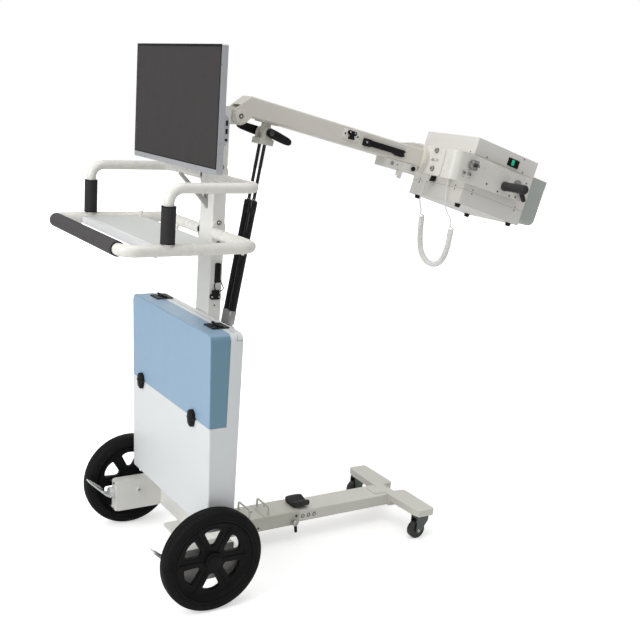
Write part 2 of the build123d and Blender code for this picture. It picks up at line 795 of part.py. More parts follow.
# Telescopic leg and foot
with BuildPart() as leg_tube:
    with BuildSketch(across(side, leg_x0, 0, leg_mid_z)):
        RectangleRounded(leg_w, leg_z1 - leg_z0, 3)
        Rectangle(leg_w - 2 * leg_wall, leg_z1 - leg_z0 - 2 * leg_wall, mode=Mode.SUBTRACT)
    extrude(amount=leg_x1 - leg_x0)
leg_tube.part.label = "leg_tube"
export_step(leg_tube.part, "parts/leg_tube.step")

foot_x1 = leg_x1 + foot_depth
caster_x = leg_x1 + 47
with BuildPart() as foot:
    with BuildSketch(Plane(origin=(axle_x, 0, foot_z0))) as foot_outline:
        Polygon(
            (leg_x1, -leg_w / 2 - 10),
            (leg_x1 + 6, 26 - foot_half),
            (leg_x1 + 13, -foot_half),
            (foot_x1, -foot_half),
            (foot_x1, -36),
            (foot_x1 - 41, -30),
            (foot_x1 - 41, 30),
            (foot_x1, 36),
            (foot_x1, foot_half),
            (leg_x1 + 13, foot_half),
            (leg_x1 + 6, foot_half - 26),
            (leg_x1, leg_w / 2 + 10),
            align=None,
        )
        fillet(foot_outline.vertices().group_by(Axis.X)[-1], 9)
    extrude(amount=foot_z1 - foot_z0)
    with BuildSketch(Plane(origin=(axle_x, 0, leg_z0))):
        with Locations((leg_x1 + 18, 0)):
            Rectangle(36, leg_w + 20)
    extrude(amount=foot_z0 - leg_z0)
    with BuildSketch(Plane(origin=(axle_x, 0, leg_z1))):
        with Locations((leg_x1 - 20, 0)):
            RectangleRounded(44, 50, 3)
    extrude(amount=foot_z1 - leg_z1)
    with BuildSketch(Plane(origin=(axle_x, 0, foot_z0 - 1))):
        with Locations((caster_x, caster_y), (caster_x, -caster_y)):
            Circle(stem_r + running)
    extrude(amount=foot_z1 - foot_z0 - 8, mode=Mode.SUBTRACT)
foot.part.label = "foot"
export_step(foot.part, "parts/foot.step")

# Swivel casters: fork with its stem and axle, and the wheel
wheel_ahead = caster_x - caster_trail
fork_top = foot_z0 - 5
fork_in = caster_w / 2 + 2
for hand, sign in (("left", 1), ("right", -1)):
    with BuildPart() as fork:
        with BuildSketch(Plane(origin=(fwd(caster_x), sign * caster_y, fork_top))):
            Circle(18)
        extrude(amount=foot_z0 - fork_top)
        with BuildSketch(Plane(origin=(fwd(caster_x), sign * caster_y, foot_z0))):
            Circle(stem_r)
        extrude(amount=foot_z1 - foot_z0 - 10)
        with BuildSketch(Plane(origin=(fwd(caster_x - 10), sign * caster_y, fork_top - 4))):
            RectangleRounded(50, 2 * fork_in + 8, 4)
        extrude(amount=4)
        for y in (sign * caster_y + fork_in + 4, sign * caster_y - fork_in):
            with BuildSketch(offset_y(side, y)):
                Polygon(
                    (wheel_ahead - 10, caster_d / 2),
                    (wheel_ahead + 8, caster_d / 2 - 6),
                    (caster_x + 12, fork_top - 14),
                    (caster_x + 12, fork_top),
                    (wheel_ahead - 10, fork_top),
                    align=None,
                )
                with Locations((wheel_ahead, caster_d / 2)):
                    Circle(10)
            extrude(amount=4)
        with BuildSketch(offset_y(side, sign * caster_y + fork_in + 5)):
            with Locations((wheel_ahead, caster_d / 2)):
                Circle(caster_pin)
        extrude(amount=2 * fork_in + 10)
    fork.part.label = f"caster_fork_{hand}"
    export_step(fork.part, f"parts/caster_fork_{hand}.step")

    with BuildPart() as caster_wheel:
        with BuildSketch(offset_y(side, sign * caster_y + caster_w / 2)):
            with Locations((wheel_ahead, caster_d / 2)):
                Circle(caster_d / 2)
        extrude(amount=caster_w)
        fillet(caster_wheel.edges().filter_by(GeomType.CIRCLE), 3)
        with BuildSketch(offset_y(side, sign * caster_y + fork_in - 0.3)):
            with Locations((wheel_ahead, caster_d / 2)):
                Circle(9)
        extrude(amount=2 * fork_in - 0.6)
        with BuildSketch(offset_y(side, sign * caster_y + fork_in)):
            with Locations((wheel_ahead, caster_d / 2)):
                Circle(caster_pin + running)
        extrude(amount=2 * fork_in, mode=Mode.SUBTRACT)
    caster_wheel.part.label = f"caster_wheel_{hand}"
    export_step(caster_wheel.part, f"parts/caster_wheel_{hand}.step")

# Lower bracket of the gas springs, on the column's front face
with BuildPart() as spring_bracket:
    with BuildSketch(across(side, col_x1, 0, eye_z)):
        RectangleRounded(64, 60, 5)
    extrude(amount=6)
    for y in (0, 27, -27):
        with BuildSketch(offset_y(side, y + 4)):
            with Locations(((col_x1 + 4 + eye_ahead) / 2, eye_z)):
                Rectangle(eye_ahead - col_x1 - 4, 24)
            with Locations((eye_ahead, eye_z)):
                Circle(12)
        extrude(amount=8)
    with BuildSketch(offset_y(side, 33)):
        with Locations((eye_ahead, eye_z)):
            Circle(eye_r)
    extrude(amount=66)
spring_bracket.part.label = "spring_bracket"
export_step(spring_bracket.part, "parts/spring_bracket.step")

# Gas springs: cylinders with their lower eyes, then the rods with the clevis they share
with BuildPart() as spring_cylinders:
    for y in (spring_y, -spring_y):
        with BuildSketch(offset_y(spring_side, y + 6)):
            Circle(eye_r + 6)
            with Locations((14, 0)):
                Rectangle(28, 14)
            Circle(eye_r + running, mode=Mode.SUBTRACT)
        extrude(amount=12)
        with BuildSketch(across(spring_side, 24, y)):
            Circle(cyl_d / 2)
        extrude(amount=cyl_len - 24)
        with BuildSketch(across(spring_side, 34, y)):
            Circle(rod_d / 2 + running)
        extrude(amount=cyl_len, mode=Mode.SUBTRACT)
spring_cylinders.part.label = "spring_cylinders"
export_step(spring_cylinders.part, "parts/spring_cylinders.step")

clevis_in = 10
clevis_out = 24
clevis_base = spring_len - 36
spacer = 7
with BuildPart() as spring_rods:
    with BuildSketch(offset_y(spring_side, clevis_out)):
        with Locations((spring_len - 27, 0)):
            RectangleRounded(18, 46, 3)
    extrude(amount=2 * clevis_out)
    for y in (clevis_out, -clevis_in):
        with BuildSketch(offset_y(spring_side, y)):
            with Locations((spring_len - 14, 0)):
                Rectangle(28, 32)
            with Locations((spring_len, 0)):
                Circle(16)
        extrude(amount=clevis_out - clevis_in)
    for y in (clevis_out + spacer, -clevis_out):
        with BuildSketch(offset_y(spring_side, y)):
            with Locations((spring_len, 0)):
                Circle(8)
        extrude(amount=spacer)
    for y in (spring_y, -spring_y):
        with BuildSketch(across(spring_side, 90, y)):
            Circle(rod_d / 2)
        extrude(amount=clevis_base + 6 - 90)
spring_rods.part.label = "spring_rods"
export_step(spring_rods.part, "parts/spring_rods.step")

# Clamp levers on the clevis: one points ahead, the other back, both outside the arm's sides
lever_in = clevis_out + spacer
lever_t = 12
with BuildPart() as rod_levers:
    for y, turn in ((-lever_in, -22), (lever_in + lever_t, 165)):
        hub = Plane(
            origin=spring_side.origin + spring_side.x_dir * spring_len + Vector(0, y, 0),
            x_dir=(cos(radians(turn)), 0, sin(radians(turn))),
            z_dir=(0, -1, 0),
        )
        with BuildSketch(hub):
            Circle(12)
            Polygon((0, -11), (0, 11), (66, 8), (74, 2), (74, -5), (66, -8), align=None)
        extrude(amount=lever_t)
rod_levers.part.label = "rod_levers"
export_step(rod_levers.part, "parts/rod_levers.step")

# Arm: square tube with two cheeks at the pivot, the springs' lug, and the flange with the roll shaft
arm_mid = (arm_low + arm_high) / 2
cheek_in = tongue_w / 2 + 2
lug_half = clevis_in - 0.3
with BuildPart() as arm_tube:
    with BuildSketch(offset_y(arm_side, arm_w / 2)):
        Polygon(
            (-20, -16),
            (-22, 12),
            (-11, 24),
            (24, arm_high),
            (arm_len, arm_high),
            (arm_len, arm_low),
            (38, arm_low),
            (20, -17),
            (6, -25),
            align=None,
        )
    extrude(amount=arm_w)
    fillet(arm_tube.edges().filter_by(Axis((0, 0, 0), (ca, 0, -sa))), 5)
    with BuildSketch(offset_y(arm_side, cheek_in)):
        with Locations((-14, -4)):
            Rectangle(92, 72)
    extrude(amount=2 * cheek_in, mode=Mode.SUBTRACT)
    with BuildSketch(across(arm_side, 60, 0, arm_mid)):
        Rectangle(arm_w - 2 * arm_wall, arm_high - arm_low - 2 * arm_wall)
    extrude(amount=arm_len - 60, mode=Mode.SUBTRACT)
    with BuildSketch(across(arm_side, arm_len, 0, arm_mid)):
        Circle(flange_r)
    extrude(amount=flange_t)
    with BuildSketch(across(arm_side, arm_len + flange_t, 0, arm_mid)):
        Circle(roll_r)
    extrude(amount=flange_t + 8)
    with BuildSketch(offset_y(arm_side, lug_half)):
        with Locations((pin_along, (arm_low + 1 + pin_up) / 2)):
            Rectangle(22, arm_low + 1 - pin_up)
        with Locations((pin_along, pin_up)):
            Circle(11)
    extrude(amount=2 * lug_half)
    with BuildSketch(above(arm_side, arm_low - 3, 0, pin_along)):
        RectangleRounded(64, 44, 6)
    extrude(amount=4)
    for sign in (1, -1):
        with BuildSketch(Plane(origin=arm_side.origin + Vector(0, sign * (arm_w / 2 - 1), 0), z_dir=(0, sign, 0))):
            Circle(19)
        extrude(amount=7)
    fillet(arm_tube.edges().filter_by(GeomType.CIRCLE).filter_by(lambda e: abs(e.radius - 19) < 0.01).group_by(Axis.Y)[-1], 2)
    fillet(arm_tube.edges().filter_by(GeomType.CIRCLE).filter_by(lambda e: abs(e.radius - 19) < 0.01).group_by(Axis.Y)[0], 2)
    with BuildSketch(offset_y(arm_side, arm_w / 2 + 1)):
        Circle(pivot_pin_r + running)
    extrude(amount=arm_w + 2, mode=Mode.SUBTRACT)
arm_tube.part.label = "arm_tube"
export_step(arm_tube.part, "parts/arm_tube.step")

# Roll lock under the arm's end with its peg, and the cover on top
with BuildPart() as roll_lock:
    with BuildSketch(offset_y(arm_side, arm_w / 2)):
        Polygon(
            (arm_len - 132, arm_low),
            (arm_len - 132, arm_low - 27),
            (arm_len - 8, arm_low - 27),
            (arm_len - 8, arm_low),
            align=None,
        )
    extrude(amount=arm_w)
    with BuildSketch(above(arm_side, arm_low - 45, 6 - arm_w / 2, arm_len - 74)):
        Circle(6)
    extrude(amount=30)
    with BuildSketch(offset_y(arm_side, 22)) as cover:
        Polygon(
            (arm_len - 96, arm_high),
            (arm_len - 40, arm_high + 13),
            (arm_len - 1, arm_high + 13),
            (arm_len - 1, arm_high),
            align=None,
        )
        fillet(cover.vertices().sort_by(Axis.Y)[-2:], 6)
    extrude(amount=44)
roll_lock.part.label = "roll_lock"
export_step(roll_lock.part, "parts/roll_lock.step")

# Keeper plate and strap latch on the arm's side
with BuildPart() as arm_latch:
    arm_face = -arm_w / 2
    with BuildSketch(offset_y(arm_side, arm_face)):
        with Locations((384, 40)):
            RectangleRounded(62, 30, 4)
    extrude(amount=3)
    with BuildSketch(offset_y(arm_side, arm_face - 3)):
        with Locations((384, 44)):
            SlotOverall(34, 16)
        with Locations((384, 36)):
            Rectangle(20, 16)
    extrude(amount=9)
    with BuildSketch(offset_y(arm_side, arm_face)):
        with Locations((446, 32)):
            RectangleRounded(28, 23, 3)
    extrude(amount=11)
    with BuildSketch(offset_y(arm_side, arm_face - 2)):
        Polygon((450, 23), (450, 42), (592, 42), (600, 38), (594, 32), (600, 24), (592, 21), (560, 21), (548, 23), align=None)
    extrude(amount=7)
arm_latch.part.label = "arm_latch"
export_step(arm_latch.part, "parts/arm_latch.step")

# Yoke: roll flange, rear plate with its doubler, two bends and two tapered side plates
yoke_t = 7
yoke_out = head_w / 2 + 35
yoke_mid = yoke_out - yoke_t / 2
yoke_back = arm_len + 24
yoke_end = tilt_along + 61
with BuildPart() as yoke:
    with BuildSketch(above(arm_side, 90)):
        with BuildLine():
            FilletPolyline(
                (yoke_end, -yoke_mid),
                (yoke_back + yoke_t / 2, -yoke_mid),
                (yoke_back + yoke_t / 2, yoke_mid),
                (yoke_end, yoke_mid),
                radius=24,
            )
            offset(amount=yoke_t / 2, side=Side.BOTH)
        make_face()
    extrude(amount=-120)
    with BuildSketch(offset_y(arm_side, yoke_out + 10)) as cheek:
        Polygon(
            (yoke_back - 2, -10),
            (yoke_back + 70, -10),
            (yoke_end, -18),
            (yoke_end, 60),
            (yoke_back + 76, 82),
            (yoke_back - 2, 82),
            align=None,
        )
        fillet(cheek.vertices().group_by(Axis.X)[-1], 20)
    extrude(amount=2 * yoke_out + 20, mode=Mode.INTERSECT)
    with BuildSketch(across(arm_side, yoke_back - 5, -65, arm_mid + 1)):
        RectangleRounded(96, 88, 8)
    extrude(amount=6)
    with BuildSketch(across(arm_side, arm_len + flange_t + flange_gap, 0, arm_mid)):
        Circle(flange_r)
    extrude(amount=flange_t)
    with BuildSketch(across(arm_side, arm_len + flange_t, 0, arm_mid)):
        Circle(roll_r + running)
    extrude(amount=60, mode=Mode.SUBTRACT)
    with BuildSketch(across(arm_side, yoke_back - 10, -73, 38)):
        SlotOverall(38, 9)
    extrude(amount=30, mode=Mode.SUBTRACT)
    with BuildSketch(offset_y(arm_side, yoke_out + 10)):
        with Locations((tilt_along, tilt_up)):
            Circle(tilt_r + running)
    extrude(amount=2 * yoke_out + 20, mode=Mode.SUBTRACT)
yoke.part.label = "yoke"
export_step(yoke.part, "parts/yoke.step")

# Bright fittings on the yoke: doubler screws, star knob with its two pins, and the cranks' spindles
crank_r = 6
crank_out = 14
with BuildPart() as yoke_fittings:
    for up in (11, 69):
        with BuildSketch(across(arm_side, yoke_back - 5, -72, up)):
            Circle(6.5)
        extrude(amount=-3)
    with BuildSketch(offset_y(arm_side, -yoke_out)):
        with Locations((yoke_back + 69, 49)):
            Circle(6)
        with Locations((yoke_back + 44, 19), (yoke_back + 66, 19)):
            Circle(3.5)
    extrude(amount=7)
    with BuildSketch(offset_y(arm_side, -yoke_out - 5)):
        with Locations((yoke_back + 69, 49)):
            Circle(11)
            with PolarLocations(12, 6):
                Circle(5.5)
    extrude(amount=15)
    for sign in (1, -1):
        crank = Plane(
            origin=arm_side.origin + arm_side.x_dir * tilt_along + arm_side.y_dir * tilt_up + Vector(0, sign * yoke_out, 0),
            x_dir=(1, 0, 0),
            z_dir=(0, sign, 0),
        )
        with BuildSketch(crank):
            Circle(tilt_r + 5)
        extrude(amount=4)
        with BuildSketch(crank):
            Circle(crank_r)
        extrude(amount=crank_out + 9)
yoke_fittings.part.label = "yoke_fittings"
export_step(yoke_fittings.part, "parts/yoke_fittings.step")

# Black grips on the yoke, and the hanging handles of the tilt cranks
grip_len = 100
crank_drop = (0.45, 0, -0.893)
with BuildPart() as yoke_grips:
    for sign in (1, -1):
        grip_foot = arm_side.origin + arm_side.x_dir * (tilt_along - 53) + arm_side.y_dir * 15 + Vector(0, sign * yoke_out, 0)
        with BuildSketch(Plane(origin=grip_foot, z_dir=(0, sign, 0))):
            Circle(12.5)
        extrude(amount=grip_len, taper=-1.4)
        crank_top = arm_side.origin + arm_side.x_dir * tilt_along + arm_side.y_dir * tilt_up
        crank_top = crank_top + Vector(*crank_drop) * (crank_r + 0.3) + Vector(0, sign * (yoke_out + crank_out), 0)
        with BuildSketch(Plane(origin=crank_top, z_dir=crank_drop)):
            Circle(7)
        extrude(amount=52)
    fillet(yoke_grips.edges().filter_by(GeomType.CIRCLE).group_by(Axis.Y)[-1], 4)
    fillet(yoke_grips.edges().filter_by(GeomType.CIRCLE).group_by(Axis.Y)[0], 4)
yoke_grips.part.label = "yoke_grips"
export_step(yoke_grips.part, "parts/yoke_grips.step")

# Head: lower tray, middle band and upper cover, each an open shell
head_len = head_front - head_back
head_mid = (head_front + head_back) / 2
for name, low, high, floor in (
    ("head_lower", head_low, head_seam_low, head_low + head_wall),
    ("head_middle", head_seam_low, head_seam_high, head_seam_low),
    ("head_upper", head_seam_high, head_high, head_seam_high),
):
    roof = high - head_wall if name == "head_upper" else high
    with BuildPart() as shell:
        with BuildSketch(above(head_side, low, 0, head_mid)):
            RectangleRounded(head_len, head_w, 3)
        extrude(amount=high - low)
        with BuildSketch(above(head_side, floor, 0, head_mid)):
            Rectangle(head_len - 2 * head_wall, head_w - 2 * head_wall)
        extrude(amount=roof - floor, mode=Mode.SUBTRACT)
    shell.part.label = name
    export_step(shell.part, f"parts/{name}.step")

# Touch screen on the head's cover
screen_len = 155
screen_w = 204
with BuildPart() as head_screen:
    with BuildSketch(above(head_side, head_high)):
        RectangleRounded(screen_len, screen_w, 4)
    extrude(amount=2.5)
head_screen.part.label = "head_screen"
export_step(head_screen.part, "parts/head_screen.step")

# Black trim of the head: four feet, the rocker switch and the rear catch
with BuildPart() as head_trim:
    for y in (25 - head_w / 2, head_w / 2 - 25):
        for along in (head_back + 22, head_front - 22):
            with BuildSketch(above(head_side, head_low, y, along)):
                Circle(10)
            extrude(amount=-11, taper=12)
    with BuildSketch(offset_y(head_side, -head_w / 2)):
        with Locations((-13, 67)):
            RectangleRounded(50, 26, 2)
    extrude(amount=2)
    with BuildSketch(offset_y(head_side, -head_w / 2 - 2)):
        with Locations((-19, 67)):
            Rectangle(17, 20)
        with Locations((-4, 67)):
            Rectangle(11, 20)
    extrude(amount=2.5)
    with BuildSketch(offset_y(head_side, 30)):
        Polygon(
            (head_back, head_seam_low + 22),
            (head_back - 9, head_seam_low + 22),
            (head_back - 12, head_seam_low + 2),
            (head_back, head_seam_low + 6),
            align=None,
        )
    extrude(amount=18)
head_trim.part.label = "head_trim"
export_step(head_trim.part, "parts/head_trim.step")

# Collimator: a shell with rounded front corners and a rounded lower edge
coll_end = head_front + coll_len
coll_wall = 3
coll_mid = (head_front + coll_end) / 2
with BuildPart() as collimator:
    with BuildSketch(offset_y(head_side, coll_w / 2)) as outline:
        Polygon(
            (head_front, coll_low),
            (coll_end, coll_low),
            (coll_end, coll_high),
            (head_front, coll_high),
            align=None,
        )
        fillet(outline.vertices().group_by(Axis.X)[-1].sort_by(Axis.Y)[0], 24)
    extrude(amount=coll_w)
    fillet(collimator.edges().filter_by(Axis((0, 0, 0), (sh, 0, ch))).sort_by(Axis.X)[-2:], 12)
    with BuildSketch(across(head_side, head_front, 0, (coll_low + coll_high) / 2)):
        RectangleRounded(coll_w - 2 * coll_wall, coll_high - coll_low - 2 * coll_wall, 6)
    extrude(amount=coll_len - 26, mode=Mode.SUBTRACT)
collimator.part.label = "collimator"
export_step(collimator.part, "parts/collimator.step")

# Controls on the collimator's top: a square plate with the dial, a push button and a side knob
dial_y = -10
dial_along = coll_mid - 8
with BuildPart() as collimator_controls:
    with BuildSketch(above(head_side, coll_high, dial_y, dial_along)):
        Rectangle(68, 68)
    extrude(amount=1.5)
    with BuildSketch(above(head_side, coll_high + 1.5, dial_y, dial_along)):
        Circle(14.5)
    extrude(amount=24, taper=1.5)
    with BuildSketch(above(head_side, coll_high, dial_y + 57, dial_along)):
        Circle(10.5)
    extrude(amount=4)
    with BuildSketch(Plane(origin=head_side.origin + head_side.x_dir * (head_front + 12) + head_side.y_dir * 30 + Vector(0, coll_w / 2, 0), z_dir=(0, 1, 0))):
        Circle(9)
    extrude(amount=17)
collimator_controls.part.label = "collimator_controls"
export_step(collimator_controls.part, "parts/collimator_controls.step")

# Friction blocks between head and yoke, with the shafts the head tilts on
with BuildPart() as friction_blocks:
    for sign in (1, -1):
        block = Plane(origin=head_side.origin + Vector(0, sign * head_w / 2, 0), x_dir=head_side.x_dir, z_dir=(0, sign, 0))
        with BuildSketch(block):
            RectangleRounded(58, 50, 6)
        extrude(amount=yoke_out - yoke_t - 0.3 - head_w / 2)
        with BuildSketch(block):
            Circle(tilt_r)
        extrude(amount=yoke_out - 1 - head_w / 2)
friction_blocks.part.label = "friction_blocks"
export_step(friction_blocks.part, "parts/friction_blocks.step")

# Hand switch in its clip on the head's rear face, and the socket of its cord
switch_r = 12
switch_y = -66
switch_along = head_back - switch_r - 3
switch_low = -46
switch_len = 112
socket_y = -14
socket_up = 5
socket_len = 20
with BuildPart() as hand_switch:
    with BuildSketch(above(head_side, switch_low, switch_y, switch_along)):
        Circle(6)
    extrude(amount=12, taper=-20)
    with BuildSketch(above(head_side, switch_low + 12, switch_y, switch_along)):
        Circle(switch_r - 1.6)
    extrude(amount=switch_len - 12)
    with BuildSketch(above(head_side, switch_low + 30, switch_y, switch_along)):
        Circle(switch_r)
    extrude(amount=switch_len - 40)
    with BuildSketch(above(head_side, switch_low + switch_len, switch_y, switch_along)):
        Circle(7)
    extrude(amount=4)
    with BuildSketch(across(head_side, head_back, switch_y, switch_low + 62)):
        Rectangle(14, 26)
    extrude(amount=-5)
    with BuildSketch(across(head_side, head_back, socket_y, socket_up)):
        Circle(8)
    extrude(amount=-8)
    with BuildSketch(across(head_side, head_back - 8, socket_y, socket_up)):
        Circle(6)
    extrude(amount=-(socket_len - 8), taper=10)
hand_switch.part.label = "hand_switch"
export_step(hand_switch.part, "parts/hand_switch.step")


def corner_radii(points):
    # The arc at each corner is as large as its two runs allow
    radii = []
    for back, here, ahead in zip(points, points[1:], points[2:]):
        run_in = Vector(*here) - Vector(*back)
        run_out = Vector(*ahead) - Vector(*here)
        turn = run_in.get_angle(run_out)
        radii.append(0.45 * min(run_in.length, run_out.length) / tan(radians(turn) / 2))
    return radii


# The cord in three stretches: from the socket, the coiled loop, and up to the hand switch
cord_x = fwd(905)
socket_end = head_side.origin + head_side.x_dir * (head_back - socket_len) + head_side.y_dir * socket_up + Vector(0, socket_y, 0)
switch_end = head_side.origin + head_side.x_dir * switch_along + head_side.y_dir * switch_low + Vector(0, switch_y, 0)
socket_out = -head_side.x_dir
switch_out = -head_side.y_dir
socket_route = [
    tuple(socket_end),
    tuple(socket_end + socket_out * 18),
    (fwd(891), -9, 1247),
    (fwd(889), 4, 1222),
    (fwd(896), 18, 1192),
    (cord_x, 40, 1162),
    (cord_x, 56, 1108),
    (cord_x, 38.9, 1083.2),
    (cord_x, 39.4, 1067.2),
]
loop_route = [
    (cord_x, 33, 1067),
    (cord_x, 34, 1035),
    (cord_x, 33, 1001),
    (cord_x, 28, 966),
    (cord_x, 14, 935),
    (cord_x, -12, 915),
    (cord_x, -44, 910),
    (cord_x, -74, 918),
    (cord_x, -98, 940),
    (cord_x, -112, 975),
    (cord_x, -117.5, 1012),
    (cord_x, -122, 1048),
]
switch_route = [
    tuple(switch_end),
    tuple(switch_end + switch_out * 24),
    (fwd(907), -77, 1145),
    (cord_x, -79, 1114),
    (cord_x, -94, 1086),
    (cord_x, -118.6, 1072.6),
    (cord_x, -115.6, 1048.8),
]
for name, route, thick in (
    ("cord_socket_end", socket_route, cord_d),
    ("cord_coil", loop_route, curl_d),
    ("cord_switch_end", switch_route, cord_d),
):
    radii = corner_radii(route)
    with BuildPart() as stretch:
        with BuildLine() as line:
            FilletPolyline(*route, radius=radii)
        path = line.wire()
        with BuildSketch(Plane(origin=path @ 0, z_dir=path % 0)):
            Circle(thick / 2)
        sweep(path=path)
    stretch.part.label = name
    export_step(stretch.part, f"parts/{name}.step")
    share = stretch.part.volume / (3.14159 * thick * thick / 4 * path.length)
    print(name, "length", round(path.length, 1), "radii", [round(r, 1) for r in radii], "volume share", round(share, 4))

print("axle_x", round(axle_x, 3), "spring angle", round(degrees(atan2(pin_ahead - eye_ahead, pin_z - eye_z)), 3))
print("pivot", round(fwd(pivot_ahead), 2), pivot_z, "tilt", round(fwd(tilt_ahead), 2), round(tilt_z, 2))
print("eye", round(fwd(eye_ahead), 2), eye_z, "pin", round(fwd(pin_ahead), 2), round(pin_z, 2), "length", round(spring_len, 2))
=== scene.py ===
from math import cos, pi, radians, sin, tau

import bmesh
import bpy
from mathutils import Matrix, Vector


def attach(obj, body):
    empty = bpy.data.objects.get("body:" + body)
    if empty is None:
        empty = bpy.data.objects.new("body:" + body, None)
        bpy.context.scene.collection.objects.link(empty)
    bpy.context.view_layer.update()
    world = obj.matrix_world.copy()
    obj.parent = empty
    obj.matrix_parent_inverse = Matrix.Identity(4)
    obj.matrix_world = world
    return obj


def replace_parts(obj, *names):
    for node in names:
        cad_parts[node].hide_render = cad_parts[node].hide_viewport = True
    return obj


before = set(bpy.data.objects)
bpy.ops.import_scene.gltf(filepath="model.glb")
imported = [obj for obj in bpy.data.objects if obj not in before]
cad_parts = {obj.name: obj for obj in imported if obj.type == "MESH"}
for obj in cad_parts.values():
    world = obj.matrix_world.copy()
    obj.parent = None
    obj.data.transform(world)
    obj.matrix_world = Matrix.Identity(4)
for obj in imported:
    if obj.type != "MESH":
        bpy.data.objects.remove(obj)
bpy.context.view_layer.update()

# Places on the machine are given in millimetres ahead of the wheels' axle, to its left, and above the floor.
# The camera stands behind the operator's side, a little above the tray, as the photograph was taken.
AXLE_X = -524.991
SIDES = (1, -1)
HANDS = (("left", 1), ("right", -1))
IN_PLACE = Matrix.Identity(4)


def shift(x, y, z):
    return Matrix.Translation((x, y, z))


def added(name, data):
    """A new object in the scene."""
    item = bpy.data.objects.new(name, data)
    bpy.context.scene.collection.objects.link(item)
    return item


machine = Matrix.Scale(0.001, 4) @ shift(AXLE_X, 0, 0)
lens_yaw, lens_pitch, lens_roll = 0.553, -0.244, -0.069
sight = Vector((sin(lens_yaw) * cos(lens_pitch), cos(lens_yaw) * cos(lens_pitch), sin(lens_pitch)))
level = Vector((cos(lens_yaw), -sin(lens_yaw), 0))
drop = sight.cross(level)
across_view = level * cos(lens_roll) + drop * sin(lens_roll)
down_view = drop * cos(lens_roll) - level * sin(lens_roll)
camera = added("camera", bpy.data.cameras.new("camera"))
camera.data.lens = 55.21
camera.data.sensor_width = 36
camera.data.shift_x = 0.0469
camera.data.shift_y = 0.0111
camera.data.clip_end = 60
turn = Matrix((across_view, -down_view, -sight)).transposed()
camera.matrix_world = Matrix.Translation(machine @ Vector((-1172.375, -2543.895, 1463.749))) @ turn.to_4x4()
bpy.context.scene.camera = camera

# Studio: a pale floor that fades into a white room, with one large soft lamp on the operator's side,
# a weaker one overhead, and the room's own even light.


def add_node(tree, kind, presets=None, **settings):
    """A shader node with its settings, and the values that its sockets start with."""
    node = tree.nodes.new("ShaderNode" + kind)
    for key, value in settings.items():
        setattr(node, key, value)
    for socket, value in (presets or {}).items():
        node.inputs[socket].default_value = value
    return node


def wire(tree, *links):
    """Joins nodes; each link gives a node, its output, the next node and its input."""
    for source, output, target, entry in links:
        tree.links.new(source.outputs[output], target.inputs[entry])


def new_material(name):
    material = bpy.data.materials.new(name)
    material.use_nodes = True
    return material, material.node_tree


bpy.context.scene.view_settings.view_transform = "Standard"
room = bpy.data.worlds.new("room")
bpy.context.scene.world = room
room.use_nodes = True
tree = room.node_tree
tree.nodes.clear()
seen = add_node(tree, "LightPath")
either = add_node(tree, "Math", operation="MAXIMUM")
sky_way = add_node(tree, "TexCoord")
sky_part = add_node(tree, "SeparateXYZ")
sky = add_node(tree, "MapRange", {"From Min": -0.3, "From Max": 1.0, "To Min": 0.22, "To Max": 0.66})
brightness = add_node(tree, "MapRange", {"To Max": 1.0})
glow = add_node(tree, "Background", {"Color": (1, 1, 1, 1)})
room_out = add_node(tree, "OutputWorld")
wire(
    tree, (sky_way, "Generated", sky_part, 0), (sky_part, "Z", sky, "Value"),
    (sky, "Result", brightness, "To Min"), (seen, "Is Camera Ray", either, 0),
    (seen, "Is Transmission Ray", either, 1), (either, 0, brightness, "Value"),
    (brightness, "Result", glow, "Strength"), (glow, 0, room_out, 0),
)

floor_mesh = bpy.data.meshes.new("floor")
floor_bm = bmesh.new()
bmesh.ops.create_circle(floor_bm, cap_ends=True, segments=96, radius=14)
floor_bm.to_mesh(floor_mesh)
floor_bm.free()
floor = added("floor", floor_mesh)
floor_paint, tree = new_material("floor_paint")
tree.nodes.clear()
matt = add_node(tree, "BsdfDiffuse", {"Color": (0.86, 0.86, 0.86, 1)})
lit = add_node(tree, "Emission")
eye_path = add_node(tree, "LightPath")
lift = add_node(tree, "Math", operation="MULTIPLY")
spot = add_node(tree, "TexCoord")
away = add_node(tree, "VectorMath", operation="LENGTH")
fade = add_node(tree, "MapRange", {"From Min": 0.4, "From Max": 2.2, "To Min": 0.42, "To Max": 1.0})
both = add_node(tree, "AddShader")
surface = add_node(tree, "OutputMaterial")
wire(
    tree, (spot, "Object", away, 0), (away, "Value", fade, "Value"), (eye_path, "Is Camera Ray", lift, 0),
    (fade, "Result", lift, 1), (lift, 0, lit, "Strength"), (matt, 0, both, 0), (lit, 0, both, 1),
    (both, 0, surface, "Surface"),
)
floor_mesh.materials.append(floor_paint)

for name, place, size, watts in (
    ("soft_key", (-4.2, -0.7, 2.5), 2.6, 106),
    ("overhead", (-0.4, -0.4, 3.8), 2.4, 34),
    ("far_fill", (1.8, 3.4, 2.2), 2.2, 16),
):
    lamp = added(name, bpy.data.lights.new(name, "AREA"))
    lamp.data.size = size
    lamp.data.energy = watts
    lamp.location = place
    lamp.rotation_euler = (Vector((0.05, 0, 0.8)) - lamp.location).to_track_quat("-Z", "Y").to_euler()

# Cross beam and side boxes: welded steel, powder coated in off-white. The coat has a fine orange peel,
# its edges are rounded by the paint, and it is a little thinner and duller where it is handled.


def new_group(name, inputs, outputs):
    group = bpy.data.node_groups.new(name, "ShaderNodeTree")
    for label, kind, value in inputs:
        socket = group.interface.new_socket(name=label, in_out="INPUT", socket_type="NodeSocket" + kind)
        socket.default_value = value
    for label, kind in outputs:
        group.interface.new_socket(name=label, in_out="OUTPUT", socket_type="NodeSocket" + kind)
    return group, group.nodes.new("NodeGroupInput"), group.nodes.new("NodeGroupOutput")


